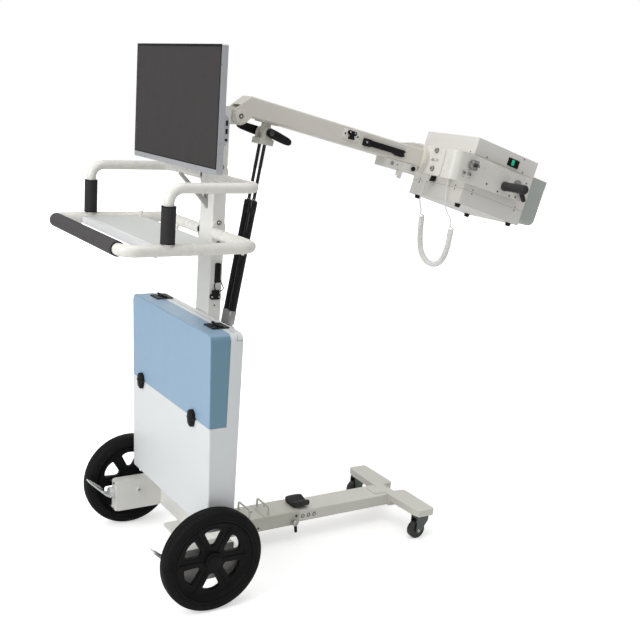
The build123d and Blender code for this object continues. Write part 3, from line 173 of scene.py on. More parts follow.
# The rounded edge that every pressed, moulded or painted part has, and a mask of it
edge_group, edge_in, edge_out = new_group(
    "rounded edge",
    [("Radius", "Float", 0.001), ("Breakup", "Float", 60.0)],
    [("Edge", "Float"), ("Normal", "Vector")],
)
soft = add_node(edge_group, "Bevel", samples=6)
hard = add_node(edge_group, "NewGeometry")
meet = add_node(edge_group, "VectorMath", operation="DOT_PRODUCT")
edge_mask = add_node(edge_group, "MapRange", {"From Min": 0.995, "From Max": 0.86})
patch = add_node(edge_group, "TexNoise", {"Detail": 4})
edge_worn = add_node(edge_group, "Math", operation="MULTIPLY")
coords = add_node(edge_group, "TexCoord")
wire(
    edge_group, (edge_in, "Radius", soft, "Radius"), (soft, 0, meet, 0), (hard, "Normal", meet, 1),
    (meet, "Value", edge_mask, "Value"), (coords, "Object", patch, "Vector"),
    (edge_in, "Breakup", patch, "Scale"), (edge_mask, "Result", edge_worn, 0), (patch, 0, edge_worn, 1),
    (edge_worn, 0, edge_out, "Edge"), (soft, 0, edge_out, "Normal"),
)

# A coat's skin: broad drift of tone, fine peel or grain, and roughness that wanders with handling
skin_group, skin_in, skin_out = new_group(
    "coat skin",
    [
        ("Colour", "Color", (0.8, 0.8, 0.8, 1)),
        ("Drift colour", "Color", (0.7, 0.7, 0.7, 1)),
        ("Drift", "Float", 0.25),
        ("Grain size", "Float", 700.0),
        ("Roughness low", "Float", 0.3),
        ("Roughness high", "Float", 0.4),
    ],
    [("Colour", "Color"), ("Roughness", "Float"), ("Height", "Float")],
)
coords = add_node(skin_group, "TexCoord")
broad = add_node(skin_group, "TexNoise", {"Scale": 5, "Detail": 5})
fine = add_node(skin_group, "TexNoise", {"Detail": 2})
smear = add_node(skin_group, "TexNoise", {"Scale": 22, "Detail": 6, "Distortion": 0.8})
amount = add_node(skin_group, "Math", operation="MULTIPLY")
tone = add_node(skin_group, "Mix", data_type="RGBA")
rough = add_node(skin_group, "MapRange", {"From Min": 0.3, "From Max": 0.7})
wire(
    skin_group, (coords, "Object", broad, "Vector"), (coords, "Object", fine, "Vector"),
    (coords, "Object", smear, "Vector"), (skin_in, "Grain size", fine, "Scale"), (broad, 0, amount, 0),
    (skin_in, "Drift", amount, 1), (amount, 0, tone, 0), (skin_in, "Colour", tone, 6),
    (skin_in, "Drift colour", tone, 7), (smear, 0, rough, "Value"), (skin_in, "Roughness low", rough, "To Min"),
    (skin_in, "Roughness high", rough, "To Max"), (tone, 2, skin_out, "Colour"),
    (rough, "Result", skin_out, "Roughness"), (fine, 0, skin_out, "Height"),
)


def coated(
    name, colour, drift, roughness=(0.3, 0.42), grain=900, relief=0.00004, edge=0.0009, worn=None,
    metal=0.0, shine=0.5
):
    """A painted, plated or moulded finish: skin and rounded edges, which are worn to a tone of their own."""
    material, tree = new_material(name)
    shader = tree.nodes["Principled BSDF"]
    shader.inputs["Metallic"].default_value = metal
    shader.inputs["Specular IOR Level"].default_value = shine
    skin_values = {
        "Colour": (*colour, 1),
        "Drift colour": (*drift, 1),
        "Grain size": grain,
        "Roughness low": roughness[0],
        "Roughness high": roughness[1],
    }
    skin = add_node(tree, "Group", skin_values, node_tree=skin_group)
    edges = add_node(tree, "Group", {"Radius": edge}, node_tree=edge_group)
    mixed = add_node(tree, "Mix", {7: (*(worn or [min(1, c * 1.06) for c in colour]), 1)}, data_type="RGBA")
    bump = add_node(tree, "Bump", {"Strength": 0.6, "Distance": relief})
    wire(
        tree, (edges, "Edge", mixed, 0), (skin, "Colour", mixed, 6), (mixed, 2, shader, "Base Color"),
        (skin, "Roughness", shader, "Roughness"), (skin, "Height", bump, "Height"),
        (edges, "Normal", bump, "Normal"), (bump, "Normal", shader, "Normal"),
    )
    return material


def finish_nodes(material, *nodes):
    """Gives the finish to every material slot of the solids."""
    for node in nodes:
        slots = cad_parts[node].data.materials
        if not slots:
            slots.append(material)
        for index in range(len(slots)):
            slots[index] = material


stand_white = coated("stand_white", (0.77, 0.765, 0.73), (0.70, 0.695, 0.66))
stand_white.node_tree.nodes["Principled BSDF"].inputs["Coat Weight"].default_value = 0.15
finish_nodes(stand_white, "base_beam", "side_boxes", "end_plates")

# Small hardware of the stand: turned and plated screws with a drive socket, set where the plates are joined.
# Each is turned on its own axis from a profile of radius and height.


def polar(radius, angle):
    return radius * cos(angle), radius * sin(angle)


def turned(profile, at=IN_PLACE, steps=28):
    bm = bmesh.new()
    rings = []
    for radius, height in profile:
        count = 1 if radius < 0.001 else steps
        rings.append(
            [bm.verts.new(at @ Vector((*polar(radius, tau * i / steps), height))) for i in range(count)]
        )
    for low, high in zip(rings, rings[1:]):
        for i in range(steps):
            near = (low[i % len(low)], low[(i + 1) % len(low)])
            far = (high[(i + 1) % len(high)], high[i % len(high)])
            corners = list(dict.fromkeys(near + far))
            if len(corners) > 2:
                bm.faces.new(corners)
    return bm


def joined(parts):
    whole = bmesh.new()
    for part in parts:
        mesh = bpy.data.meshes.new("part")
        part.to_mesh(mesh)
        part.free()
        whole.from_mesh(mesh)
        bpy.data.meshes.remove(mesh)
    return whole


def fitted(name, parts, material, body="base", where=machine, sharp=38):
    """One piece from its parts, which are in millimetres of the given frame; it rides on the body."""
    bm = joined(parts)
    bm.transform(where)
    bmesh.ops.recalc_face_normals(bm, faces=bm.faces)
    mesh = bpy.data.meshes.new(name)
    bm.to_mesh(mesh)
    bm.free()
    mesh.materials.append(material)
    mesh.shade_smooth()
    mesh.set_sharp_from_angle(angle=radians(sharp))
    piece = added(name, mesh)
    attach(piece, body)
    return piece


def facing(place, direction):
    return Matrix.Translation(place) @ Vector(direction).to_track_quat("Z", "Y").to_matrix().to_4x4()


def socket_screw(place, direction, radius, height):
    drive = radius * 0.5
    profile = [(0, height * 0.35), (drive, height * 0.35), (drive, height * 0.96), (radius * 0.78, height)]
    profile += [(radius * 0.95, height * 0.82), (radius, height * 0.5), (radius, -0.4)]
    return turned(profile, facing(place, direction), 20)


bright_steel = coated(
    "bright_steel", (0.50, 0.495, 0.485), (0.36, 0.355, 0.345), (0.14, 0.28), 1600, 0.00001, 0.0005, metal=1.0
)
dark_steel = coated(
    "dark_steel", (0.09, 0.09, 0.09), (0.16, 0.15, 0.14), (0.3, 0.45), 1400, 0.00002, 0.0004, metal=1.0
)
black_nylon = coated(
    "black_nylon", (0.009, 0.009, 0.0095), (0.016, 0.016, 0.016), (0.38, 0.55), 900, 0.00006, 0.0008,
    (0.022, 0.022, 0.023), shine=0.16,
)
BOX_MID = 264.5
box_spots = [(-74.5, side * BOX_MID + dy, z) for side in SIDES for dy in (-13, 13) for z in (79, 167)]
box_screws = [socket_screw(spot, (-1, 0, 0), 3.4, 2.4) for spot in box_spots]
fitted("end_plate_screws", box_screws, dark_steel)
lock_faces = [facing((10, side * (BOX_MID - 23.5), 136), (0, -side, 0)) for side in SIDES]
ring_profile = [(6.6, 0.2), (6.6, 1.4), (7.4, 1.9), (8.8, 1.6), (9.4, 0.9), (9.6, -0.4)]
core_profile = [(0, 1.3), (2.2, 1.3), (2.6, 0.7), (5.6, 0.9), (6.6, 0.5), (6.6, -0.4)]
fitted("lock_button_rings", [turned(ring_profile, at) for at in lock_faces], bright_steel)
fitted("lock_buttons", [turned(core_profile, at) for at in lock_faces], black_nylon)
finish_nodes(bright_steel, "axle_stubs")

# Brake pedals: bent spring steel, polished and nickel plated, with three pressed ribs on each tread.
nickel = coated("nickel", (0.70, 0.69, 0.67), (0.5, 0.5, 0.48), (0.12, 0.26), 1800, 0.00001, 0.0008, metal=1.0)
pedal_zinc = coated(
    "pedal_zinc", (0.74, 0.75, 0.75), (0.5, 0.51, 0.5), (0.22, 0.4), 1200, 0.00003, 0.0008, metal=0.25
)
finish_nodes(pedal_zinc, "pedals")


def skinned(bm, rings, ends=(True, True)):
    """Faces between rings of equal count, and over the first and the last ring."""
    count = len(rings[0])
    for low, high in zip(rings, rings[1:]):
        for i in range(count):
            bm.faces.new((low[i], low[(i + 1) % count], high[(i + 1) % count], high[i]))
    if ends[0]:
        bm.faces.new(rings[0][::-1])
    if ends[1]:
        bm.faces.new(rings[-1])
    return bm


def rod(points, radius, sides=12):
    """A round bar or wire through the points, in millimetres."""
    bm = bmesh.new()
    points = [Vector(p) for p in points]
    rings = []
    normal = None
    for i, here in enumerate(points):
        ahead = (points[min(i + 1, len(points) - 1)] - points[max(i - 1, 0)]).normalized()
        if normal is None:
            normal = ahead.orthogonal().normalized()
        normal = (normal - ahead * normal.dot(ahead)).normalized()
        other = ahead.cross(normal)
        spokes = [normal * cos(tau * k / sides) + other * sin(tau * k / sides) for k in range(sides)]
        rings.append([bm.verts.new(here + spoke * radius) for spoke in spokes])
    return skinned(bm, rings)


tread_ribs = []
for side in SIDES:
    for dy in (-9, 0, 9):
        y = side * BOX_MID + dy
        tread_ribs.append(rod([(-112, y, 151.5), (-150, y, 181)], 1.5, 10))
fitted("pedal_ribs", tread_ribs, nickel)

# Push wheels: a glass-filled nylon rim with six windows, a stepped hub and a rib down each spoke, pressed
# into a solid rubber tyre whose shoulders are notched and whose crown has two grooves.
rim_black = coated(
    "rim_black", (0.006, 0.006, 0.0065), (0.012, 0.012, 0.012), (0.36, 0.5), 1100, 0.00006, 0.0012,
    (0.014, 0.014, 0.015), shine=0.12,
)
tyre_rubber = coated(
    "tyre_rubber", (0.006, 0.006, 0.006), (0.016, 0.0155, 0.015), (0.5, 0.7), 500, 0.0002, 0.0008,
    (0.012, 0.012, 0.012), shine=0.12,
)
TRACK, AXLE_Z = 311, 152.5
HUB_FACE = 337
SPOKES = 6


def tyre(side):
    """The tyre's section is swept round the axle; shoulder points sink where a notch passes."""
    half = [
        (119.2, -21.5, 0), (121, -24.2, 0), (126, -26.2, 0), (127.5, -26.2, 0), (128.2, -25.2, 0),
        (129.5, -25.2, 0), (130.2, -26.4, 0), (137, -26.2, 0), (143, -24.6, 0), (146.8, -22.2, 0),
        (149.4, -18.4, 1.4), (150.8, -14.8, 1.6), (151.0, -13.8, 0), (151.3, -9.6, 0), (150.0, -9.1, 0),
        (150.0, -7.4, 0), (151.6, -6.9, 0),
    ]
    section = half + [(152.2, 0, 0)] + [(radius, -y, notch) for radius, y, notch in reversed(half)]
    bm = bmesh.new()
    blocks = 84
    rings = []
    for block in range(blocks):
        for share, sunk in ((0.0, 0), (0.06, 1), (0.30, 1), (0.36, 0)):
            ring = []
            for radius, y, notch in section:
                x, z = polar(radius - notch * sunk, tau * (block + share + (0.35 if y > 0 else 0)) / blocks)
                ring.append(bm.verts.new((x, y, z)))
            rings.append(ring)
    skinned(bm, rings + rings[:1], (False, False))
    bm.transform(shift(0, side * TRACK, AXLE_Z))
    return bm


def rounded_corners(corners, radius, steps=6):
    """Closed outline through the corners, each cut by an arc-like bend of about the radius."""
    points = []
    for i, corner in enumerate(corners):
        before, after = Vector(corners[i - 1]), Vector(corners[(i + 1) % len(corners)])
        corner = Vector(corner)
        start = corner + (before - corner).normalized() * radius
        end = corner + (after - corner).normalized() * radius
        for k in range(steps + 1):
            t = k / steps
            points.append(start * (1 - t) ** 2 + corner * 2 * t * (1 - t) + end * t * t)
    return points


def add_spline(curve, kind, points):
    spline = curve.splines.new(kind)
    spline.points.add(len(points) - 1)
    for point, spot in zip(spline.points, points):
        point.co = (*spot, 1)
    return spline


def drawn(curve):
    """The mesh that Blender draws for a curve, which is then removed."""
    holder = added(curve.name, curve)
    mesh = bpy.data.meshes.new_from_object(holder)
    bpy.data.objects.remove(holder)
    bpy.data.curves.remove(curve)
    return mesh


def windowed_disc(at):
    """The rim's web: a disc with six windows whose corners are round, all edges softened."""
    curve = bpy.data.curves.new("web", "CURVE")
    curve.dimensions = "2D"
    curve.fill_mode = "BOTH"
    curve.extrude = 5.5
    curve.bevel_depth = 2.4
    curve.bevel_resolution = 3
    outlines = [[polar(103, tau * i / 96) for i in range(96)]]
    for window in range(SPOKES):
        middle = tau * (window + 0.5) / SPOKES
        window_corners = ((41, -12), (90, -20.5), (94.5, -10), (95.5, 0), (94.5, 10), (90, 20.5), (41, 12))
        outlines.append(
            rounded_corners([polar(radius, middle + radians(swing)) for radius, swing in window_corners], 8)
        )
    for outline in outlines:
        add_spline(curve, "POLY", [(*point, 0) for point in outline]).use_cyclic_u = True
    mesh = drawn(curve)
    bm = bmesh.new()
    bm.from_mesh(mesh)
    bpy.data.meshes.remove(mesh)
    bmesh.ops.remove_doubles(bm, verts=bm.verts, dist=0.01)
    bm.transform(at)
    return bm


barrel_profile = [
    (98, -6), (104, -9), (112, -13), (116.5, -19), (119, -22.5), (119, 22.5), (116.5, 19), (112, 13),
    (104, 9), (98, 6), (98, -6),
]
boss_profile = [
    (0, -22), (15, -22), (16, -21), (18, -12), (24, -8.5), (38, -7), (38, 7), (27.5, 9), (26.5, 18),
    (25.4, 20.4), (19.6, 21.2), (19, 25), (17.6, 26.4), (0, 26.6),
]
cap_profile = [(0, 0.6), (6, 0.6), (7, -0.2), (11, -0.2), (12, 0.6), (15, 0.4), (16.4, -0.8)]
bead_profile = [(113.4, -5), (114.6, -3.4), (116.4, -2.6), (118, -3.4), (118.8, -5)]
for hand, side in HANDS:
    body = f"wheel_{hand}"
    outward = facing((0, side * TRACK, AXLE_Z), (0, side, 0))
    rim_parts = [
        windowed_disc(outward), turned(barrel_profile, outward, 120), turned(boss_profile, outward, 60)
    ]
    rim = fitted(f"moulded_rim_{hand}", rim_parts, rim_black, body, sharp=32)
    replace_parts(rim, f"wheel_{hand}")
    rubber = fitted(f"rubber_tyre_{hand}", [tyre(side)], tyre_rubber, body, sharp=30)
    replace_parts(rubber, f"tyre_{hand}")
    trim = [turned(cap_profile, facing((0, side * HUB_FACE, AXLE_Z), (0, side, 0)), 36)]
    trim.append(turned(bead_profile, facing((0, side * (TRACK + 25), AXLE_Z), (0, side, 0)), 96))
    for spoke in range(SPOKES):
        lean = shift(0, side * TRACK, AXLE_Z) @ Matrix.Rotation(tau * spoke / SPOKES, 4, "Y")
        trim.append(rod([lean @ Vector((27, side * 8.2, 0)), lean @ Vector((104, side * 8.6, 0))], 2.2, 8))
    fitted(f"wheel_trim_{hand}", trim, rim_black, body)

# Case: sheet metal shell in off-white. The hinged lid is light blue in front. Its right-facing folded side is
# slate blue, partly the lid's own two-tone paint and partly painted shade on the side turned from the lamps.
case_white = coated("case_white", (0.72, 0.745, 0.75), (0.68, 0.70, 0.705), (0.32, 0.42), 1000, 0.00003, 0.0012)
finish_nodes(case_white, "case_body")
lid_blue = coated(
    "lid_blue", (0.27, 0.41, 0.555), (0.25, 0.385, 0.525), (0.36, 0.46), 1000, 0.00003, 0.0012,
    (0.31, 0.45, 0.59)
)


def tone_and_painted_shade(material, colour, mask):
    """Lays another colour over a finish, where the mask node puts out one: a part's own second tone, and on the
    lid a painted shade.
    """
    tree = material.node_tree
    shader = tree.nodes["Principled BSDF"]
    first = shader.inputs["Base Color"].links[0].from_node
    over = add_node(tree, "Mix", {7: (*colour, 1)}, data_type="RGBA")
    wire(tree, (mask, 0, over, 0), (first, 2, over, 6), (over, 2, shader, "Base Color"))


tree = lid_blue.node_tree
# Painted shade: faces turned to the right (−Y) are darkened to slate blue, partly the lid's own side paint.
lid_normal = add_node(tree, "TexCoord")
lid_facing_right = add_node(tree, "VectorMath", {1: (0, -1, 0)}, operation="DOT_PRODUCT")
painted_shade_mask = add_node(tree, "MapRange", {"From Min": 0.55, "From Max": 0.78})
wire(tree, (lid_normal, "Normal", lid_facing_right, 0), (lid_facing_right, "Value", painted_shade_mask, "Value"))
tone_and_painted_shade(lid_blue, (0.155, 0.29, 0.38), painted_shade_mask)
finish_nodes(lid_blue, "lid")


def rounded(width, height, radius, steps=5):
    """Outline of a rectangle with round corners."""
    points = []
    for k, (sx, sy) in enumerate(((1, 1), (-1, 1), (-1, -1), (1, -1))):
        for i in range(steps + 1):
            dx, dy = polar(radius, pi / 2 * (k + i / steps))
            points.append((sx * (width / 2 - radius) + dx, sy * (height / 2 - radius) + dy))
    return points


def rectangle(x0, y0, x1, y1):
    return [(x0, y0), (x1, y0), (x1, y1), (x0, y1)]


def slab(outline, low, high, at=IN_PLACE, chamfer=0.8):
    """A plate of the given outline, from low to high along its own axis, with its upper edge broken."""
    bm = bmesh.new()
    centre = Vector((sum(p[0] for p in outline) / len(outline), sum(p[1] for p in outline) / len(outline)))
    rings = []
    for height, inset in (
        (low, 0), (high - chamfer, 0), (high - chamfer * 0.3, chamfer * 0.35), (high, chamfer)
    ):
        ring = []
        for p in outline:
            spoke = Vector(p) - centre
            spoke = spoke * max(0.0, 1 - inset / max(spoke.length, 0.001))
            ring.append(bm.verts.new(at @ Vector((centre.x + spoke.x, centre.y + spoke.y, height))))
        rings.append(ring)
    return skinned(bm, rings)


def pad(size, low, high, at, spot, chamfer):
    """A slab with round corners: size is its width, height and corner radius, and spot its middle."""
    return slab(rounded(*size), low, high, at @ shift(*spot, 0), chamfer)


RIGHT_SIDE = Matrix(((1, 0, 0), (0, 0, -1), (0, 1, 0))).to_4x4()
case_flank = shift(0, -276, 0) @ RIGHT_SIDE
shell_seam = [
    slab(rectangle(61.6, -258, 62.4, 258), 0, 0.25, shift(0, 0, 792), 0.05),
    slab(rectangle(61.6, 773, 62.4, 790), 0, 0.25, case_flank, 0.05),
    slab(rectangle(62, 772.6, 81.5, 773.4), 0, 0.25, case_flank, 0.05),
]
fitted("shell_seam", shell_seam, dark_steel)

# Lid hinges and turn latches: black nylon mouldings, held by countersunk screws. A latch is a tapered
# thumb piece with a raised bar across it and a small ear.
finish_nodes(black_nylon, "hinge_fixed", "hinge_lid")
for body, x in (("base", 62), ("lid", 26)):
    screws = [socket_screw((x, y + dy, 794.6), (0, 0, 1), 3.4, 1.4) for y in (197, -184) for dy in (-20, 20)]
    fitted(f"hinge_screws_{body}", screws, dark_steel, body)
latch_parts = []
latch_z = 526
latch_x = 2 - 21 * (latch_z - 213) / 579
thumb = [(17 * cos(a), 10 + 15 * sin(a)) for a in [pi * i / 14 for i in range(15)]]
thumb += [(-16.4, 0), (-14, -14), (-9.5, -22), (-4, -25.4), (4, -26), (9.5, -23), (13.4, -15), (16, 0)]
for y in (200, -170):
    face = shift(latch_x, y, latch_z) @ Matrix(((0, -0.036, -0.9993), (-1, 0, 0), (0, 0.9993, -0.036))).to_4x4()
    latch_parts.append(slab(thumb, 0.2, 11.5, face, 3.4))
    latch_parts.append(slab([(0.72 * x, 0.72 * y) for x, y in thumb], 10.5, 13.2, face @ shift(0, -2, 0), 1.6))
    latch_parts.append(pad((24, 3.4, 1.4), 11.5, 15.0, face, (0, 3), 1.2))
    latch_parts.append(slab([(22.5, 2), (14, 9), (14, -6)], 0.2, 9.5, face, 1.4))
latches = fitted("turn_latches", latch_parts, black_nylon, "lid", sharp=50)
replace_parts(latches, "lid_latches")

# Column: rectangular steel tube with the same coat, and the head block with the arm's pivot on top.
# A rubber strap latch with a wire bail, and its riveted keeper, hold the folded arm on the column's side.
finish_nodes(stand_white, "column", "column_head")
column_screws = [
    socket_screw((107, -42.2, 816), (0, -1, 0), 2.6, 1.6),
    socket_screw((120, -42.2, 1000), (0, -1, 0), 2.2, 1.4),
    socket_screw((86.2, 0, 640), (-1, 0, 0), 3.4, 2.0),
]
fitted("column_screws", column_screws, dark_steel)
upright = shift(110, -42, 0) @ RIGHT_SIDE
strap_back = [pad((24, 70, 4), 0, 2.6, upright, (0, 914), 0.6)]
fitted("strap_plate", strap_back, stand_white)
strap_parts = [
    pad((17, 58, 4), 2.6, 9.4, upright, (0, 914), 1.6),
    pad((13, 22, 3), 8.6, 11.6, upright, (0, 926), 1.2),
    pad((21, 15, 3), 0, 9.6, upright, (-3, 855), 1.4),
    pad((35, 18, 8.8), 0, 6.0, upright, (-3, 843), 1.2),
    pad((12, 20, 3), 5.5, 10.4, upright, (-3, 848), 1.4),
]
strap = fitted("strap_latch", strap_parts, black_nylon, sharp=50)
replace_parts(strap, "column_latch")
bail = [(104, 889), (101, 874), (106, 862), (116, 858), (128, 862), (131, 868), (124, 884), (117, 895)]
fitted("wire_bail", [rod([(x, -48, z) for x, z in bail], 1.6, 10)], black_nylon)
rivet_profile = [(0, 2.6), (1.6, 2.4), (3.0, 1.4), (3.6, 0), (3.6, -1)]
rivets = [turned(rivet_profile, facing((110 + dx, -48, 843), (0, -1, 0)), 18) for dx in (-14, 8)]
fitted("keeper_rivets", rivets, bright_steel)

# Tray loop and upper rail: bent steel tube, glossier paint, flattened flanges with two screws each.
tube_white = coated("tube_white", (0.78, 0.765, 0.715), (0.70, 0.685, 0.64), (0.22, 0.34), 700, 0.00003, 0.0008)
finish_nodes(tube_white, "tray_frame", "upper_rail", "tube_flanges")
flange_screws = []
washers = []
for side in SIDES:
    for z in (1000, 1060, 1158, 1218):
        at = ((107.5, side * 46, z), (0, side, 0))
        flange_screws.append(socket_screw(*at, 4.8, 4.2))
        washers.append(turned([(4.0, 1.1), (6.8, 1.0), (7.2, 0.4), (7.2, -0.2)], facing(*at), 24))
fitted("flange_screws", flange_screws, bright_steel)
fitted("flange_washers", washers, dark_steel)

# Foam sleeve on the front bar and ribbed rubber grips on the uprights. The foam is open-celled and matt,
# and the uprights' grips are darker.


def patterned(material, kind, output, presets, **settings):
    """Takes the relief of a finish from another texture."""
    tree = material.node_tree
    bump = tree.nodes["Principled BSDF"].inputs["Normal"].links[0].from_node
    coords = add_node(tree, "TexCoord")
    pattern = add_node(tree, kind, presets, **settings)
    wire(tree, (coords, "Object", pattern, "Vector"), (pattern, output, bump, "Height"))
    return material


def foamed(name, colour, cells, relief):
    skin = coated(
        name, colour, [c * 1.6 for c in colour], (0.72, 0.9), 600, relief, 0.0015, [c * 1.3 for c in colour]
    )
    return patterned(skin, "TexVoronoi", "Distance", {"Scale": cells})


GRIP_X, GRIP_Y = -158, 284
foam_grey = foamed("foam_grey", (0.052, 0.048, 0.05), 520, 0.0005)
tree = foam_grey.node_tree
coords = add_node(tree, "TexCoord")
spot_parts = add_node(tree, "SeparateXYZ")
above = add_node(tree, "Math", {1: 1.0455}, operation="GREATER_THAN")
ahead_of = add_node(tree, "Math", {1: (AXLE_X - 190) / 1000}, operation="GREATER_THAN")
on_upright = add_node(tree, "Math", operation="MULTIPLY")
wire(
    tree, (coords, "Object", spot_parts, 0), (spot_parts, "Z", above, 0), (spot_parts, "X", ahead_of, 0),
    (above, 0, on_upright, 0), (ahead_of, 0, on_upright, 1),
)
tone_and_painted_shade(foam_grey, (0.02, 0.0185, 0.019), on_upright)
finish_nodes(foam_grey, "foam_grips")
upright_ring = [(14.2, -1.6), (18.6, -1.6), (19.6, -0.8), (19.6, 0.8), (18.6, 1.6), (14.2, 1.6)]
bar_ring = [(16.2, -1.2), (18.9, -1.2), (19.7, -0.4), (19.7, 0.6), (18.9, 1.4), (16.2, 1.4)]
grip_rings = []
for side in SIDES:
    for z in (1048.5, 1141.5):
        grip_rings.append(turned(upright_ring, shift(GRIP_X, side * GRIP_Y, z), 40))
    grip_rings.append(turned(bar_ring, facing((-276, side * 244.6, 1030), (0, side, 0)), 40))
fitted("grip_end_rings", grip_rings, black_nylon)

# Tray: grey laminate-coated sheet between the side tubes, with a white folded lip, two white pegs
# that stop a book or detector from sliding, and fixing screws under the tubes.
tray_grey = coated(
    "tray_grey", (0.63, 0.645, 0.62), (0.59, 0.6, 0.58), (0.5, 0.62), 500, 0.00005, 0.0006,
    (0.7, 0.71, 0.7), shine=0.25
)
finish_nodes(tray_grey, "tray_plate")
TRAY_FRONT, TRAY_REAR, TRAY_TOP = -190, -3, 1036.5
sheet = [slab(rectangle(TRAY_FRONT, -267, TRAY_REAR, 267), 1030.2, TRAY_TOP, chamfer=0.6)]
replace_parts(fitted("tray_panel", sheet, tray_grey), "tray_plate")
lip_white = coated("lip_white", (0.78, 0.785, 0.79), (0.72, 0.725, 0.73), (0.3, 0.42), 900, 0.00002, 0.0002)
lip = [
    slab(rectangle(TRAY_FRONT - 1.2, -260, TRAY_FRONT + 12, 260), 1036.4, 1038.4, chamfer=0.6),
    slab(rectangle(TRAY_FRONT - 1.2, -260, TRAY_FRONT + 0.4, 260), 1016, 1037, chamfer=0.3),
]
fitted("tray_lip", lip, lip_white)
peg_profile = [(4.3, 0), (4.3, 11), (5.6, 12), (5.8, 15), (5.0, 17.4), (3.2, 18.6), (0, 19)]
pegs = [turned(peg_profile, shift(-12, y, 1036), 20) for y in (245, -20)]
fitted("tray_pegs", pegs, tube_white)
under_screws = [
    socket_screw((x, side * GRIP_Y, 1014.2), (0, 0, -1), 4.0, 3.6) for side in SIDES for x in (-190, -30, 60)
]
fitted("tray_screws", under_screws, tube_white)

# Monitor: a flat 24 inch panel with a matt screen, a thin black bezel, a silver chin and sides, and a
# socket block with two slots and a round jack on its right flank.
silver = coated(
    "silver_plastic", (0.56, 0.58, 0.61), (0.5, 0.52, 0.55), (0.26, 0.36), 1500, 0.00002, 0.0008, metal=0.55
)
finish_nodes(silver, "monitor_back", "monitor_frame")
panel_glass = coated(
    "panel_glass", (0.048, 0.0445, 0.0445), (0.052, 0.048, 0.048), (0.5, 0.56), 2400, 0.00001, 0.0002,
    (0.048, 0.0445, 0.0445), shine=0.14,
)
finish_nodes(panel_glass, "monitor_screen")
screen_face = shift(-26, 0, 0) @ Matrix(((0, 0, -1), (1, 0, 0), (0, 1, 0))).to_4x4()
bezel_sides = (
    (-275.4, 1538.8, 275.4, 1544.4), (-275.4, 1233.6, 275.4, 1235.6),
    (-275.4, 1235, -269.8, 1539), (269.8, 1235, 275.4, 1539),
)
bezel = [slab(rectangle(*corners), 0, 0.5, screen_face, 0.2) for corners in bezel_sides]
fitted("monitor_bezel", bezel, black_nylon, "monitor")
flank = shift(0, -262, 0) @ RIGHT_SIDE
block_outline = [(-7.5, 1290), (4, 1300), (7, 1310), (7, 1356), (4, 1366), (-7.5, 1376)]
fitted("socket_block", [slab(block_outline, -6, 9.6, flank, 1.0)], silver, "monitor")
sockets = [pad((6.2, 13.5, 0.8), 9.2, 10.0, flank, (0, z), 0.3) for z in (1352, 1331)]
jack = [(0, 0.4), (2.2, 0.4), (3.4, 0.9), (3.8, 0.2)]
sockets.append(turned(jack, facing((0, -271.6, 1309), (0, -1, 0)), 20))
fitted("socket_mouths", sockets, black_nylon, "monitor")
bracket_grey = coated("bracket_grey", (0.36, 0.36, 0.35), (0.3, 0.3, 0.29), (0.3, 0.44), 900, 0.00003, 0.0008)
finish_nodes(bracket_grey, "monitor_bracket")
AHEAD = Matrix(((0, 0, 1), (1, 0, 0), (0, 1, 0))).to_4x4()
vents = []
for row in range(7):
    for side in SIDES:
        vents.append(pad((120, 3, 1.4), 0, 0.4, shift(-8, side * 150, 1410 + row * 12) @ AHEAD, (0, 0), 0.15))
fitted("monitor_vents", vents, black_nylon, "monitor")

# Telescopic leg: a coated box section that slides in a sleeve. The sleeve is locked by a bolt with a
# black bar, and a row of flush screws on the leg's flank holds its guide rail.
leg_beige = coated("leg_beige", (0.69, 0.675, 0.615), (0.63, 0.615, 0.56), (0.36, 0.48), 1000, 0.00004, 0.001)
finish_nodes(leg_beige, "leg_tube", "foot")
sleeve_beige = coated("sleeve_beige", (0.56, 0.55, 0.48), (0.5, 0.49, 0.43), (0.36, 0.48), 1000, 0.00004, 0.001)
finish_nodes(sleeve_beige, "leg_sleeve")
loop_steel = coated(
    "loop_steel", (0.6, 0.58, 0.52), (0.5, 0.48, 0.43), (0.3, 0.42), 1200, 0.00002, 0.0006, metal=0.4
)
finish_nodes(loop_steel, "wire_loops")
sleeve_screws = [
    socket_screw((441, -50.3, 91), (0, -1, 0), 4.4, 2.6),
    socket_screw((300, -50.3, 72), (0, -1, 0), 3.4, 2.0),
    socket_screw((300, 0, 107.3), (0, 0, 1), 2.6, 1.4),
    socket_screw((360, 24, 107.3), (0, 0, 1), 2.6, 1.4),
]
fitted("sleeve_screws", sleeve_screws, dark_steel)
leg_spots = [((x, -45, 83), (0, -1, 0)) for x in (470, 492, 514)]
leg_screws = [socket_screw(*at, 4.6, 0.2) for at in leg_spots]
fitted("leg_screws", leg_screws, bright_steel, "leg")
leg_washers = [turned([(4.5, 0.14), (6.6, 0.14), (7.0, 0.1), (7.0, -0.4)], facing(*at), 22) for at in leg_spots]
fitted("leg_washers", leg_washers, dark_steel, "leg")
seam_line = slab(rectangle(131, -51.0, 131.9, 51.0), 0, 0.25, shift(190, 0, 107.3), 0.05)
fitted("sleeve_seam", [seam_line], dark_steel)
bolt_profile = [
    (5.2, 0), (5.2, 7), (9.4, 8), (10.4, 10), (10.4, 15), (9.0, 17), (4.6, 17.6), (4.4, 16), (0, 16)
]
bolt = turned(bolt_profile, facing((431, -50.3, 72), (0, -1, 0)), 24)
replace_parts(fitted("lock_bolt", [bolt], bright_steel), "leg_clamp")
handle_profile = [(0, 0), (3.6, 0.4), (4.6, 3), (5.0, 10), (5.0, 24), (4.2, 27), (0, 28)]
handle = turned(handle_profile, facing((433, -61.5, 66), (0.12, 0, -0.99)), 20)
fitted("lock_handle", [handle], black_nylon)

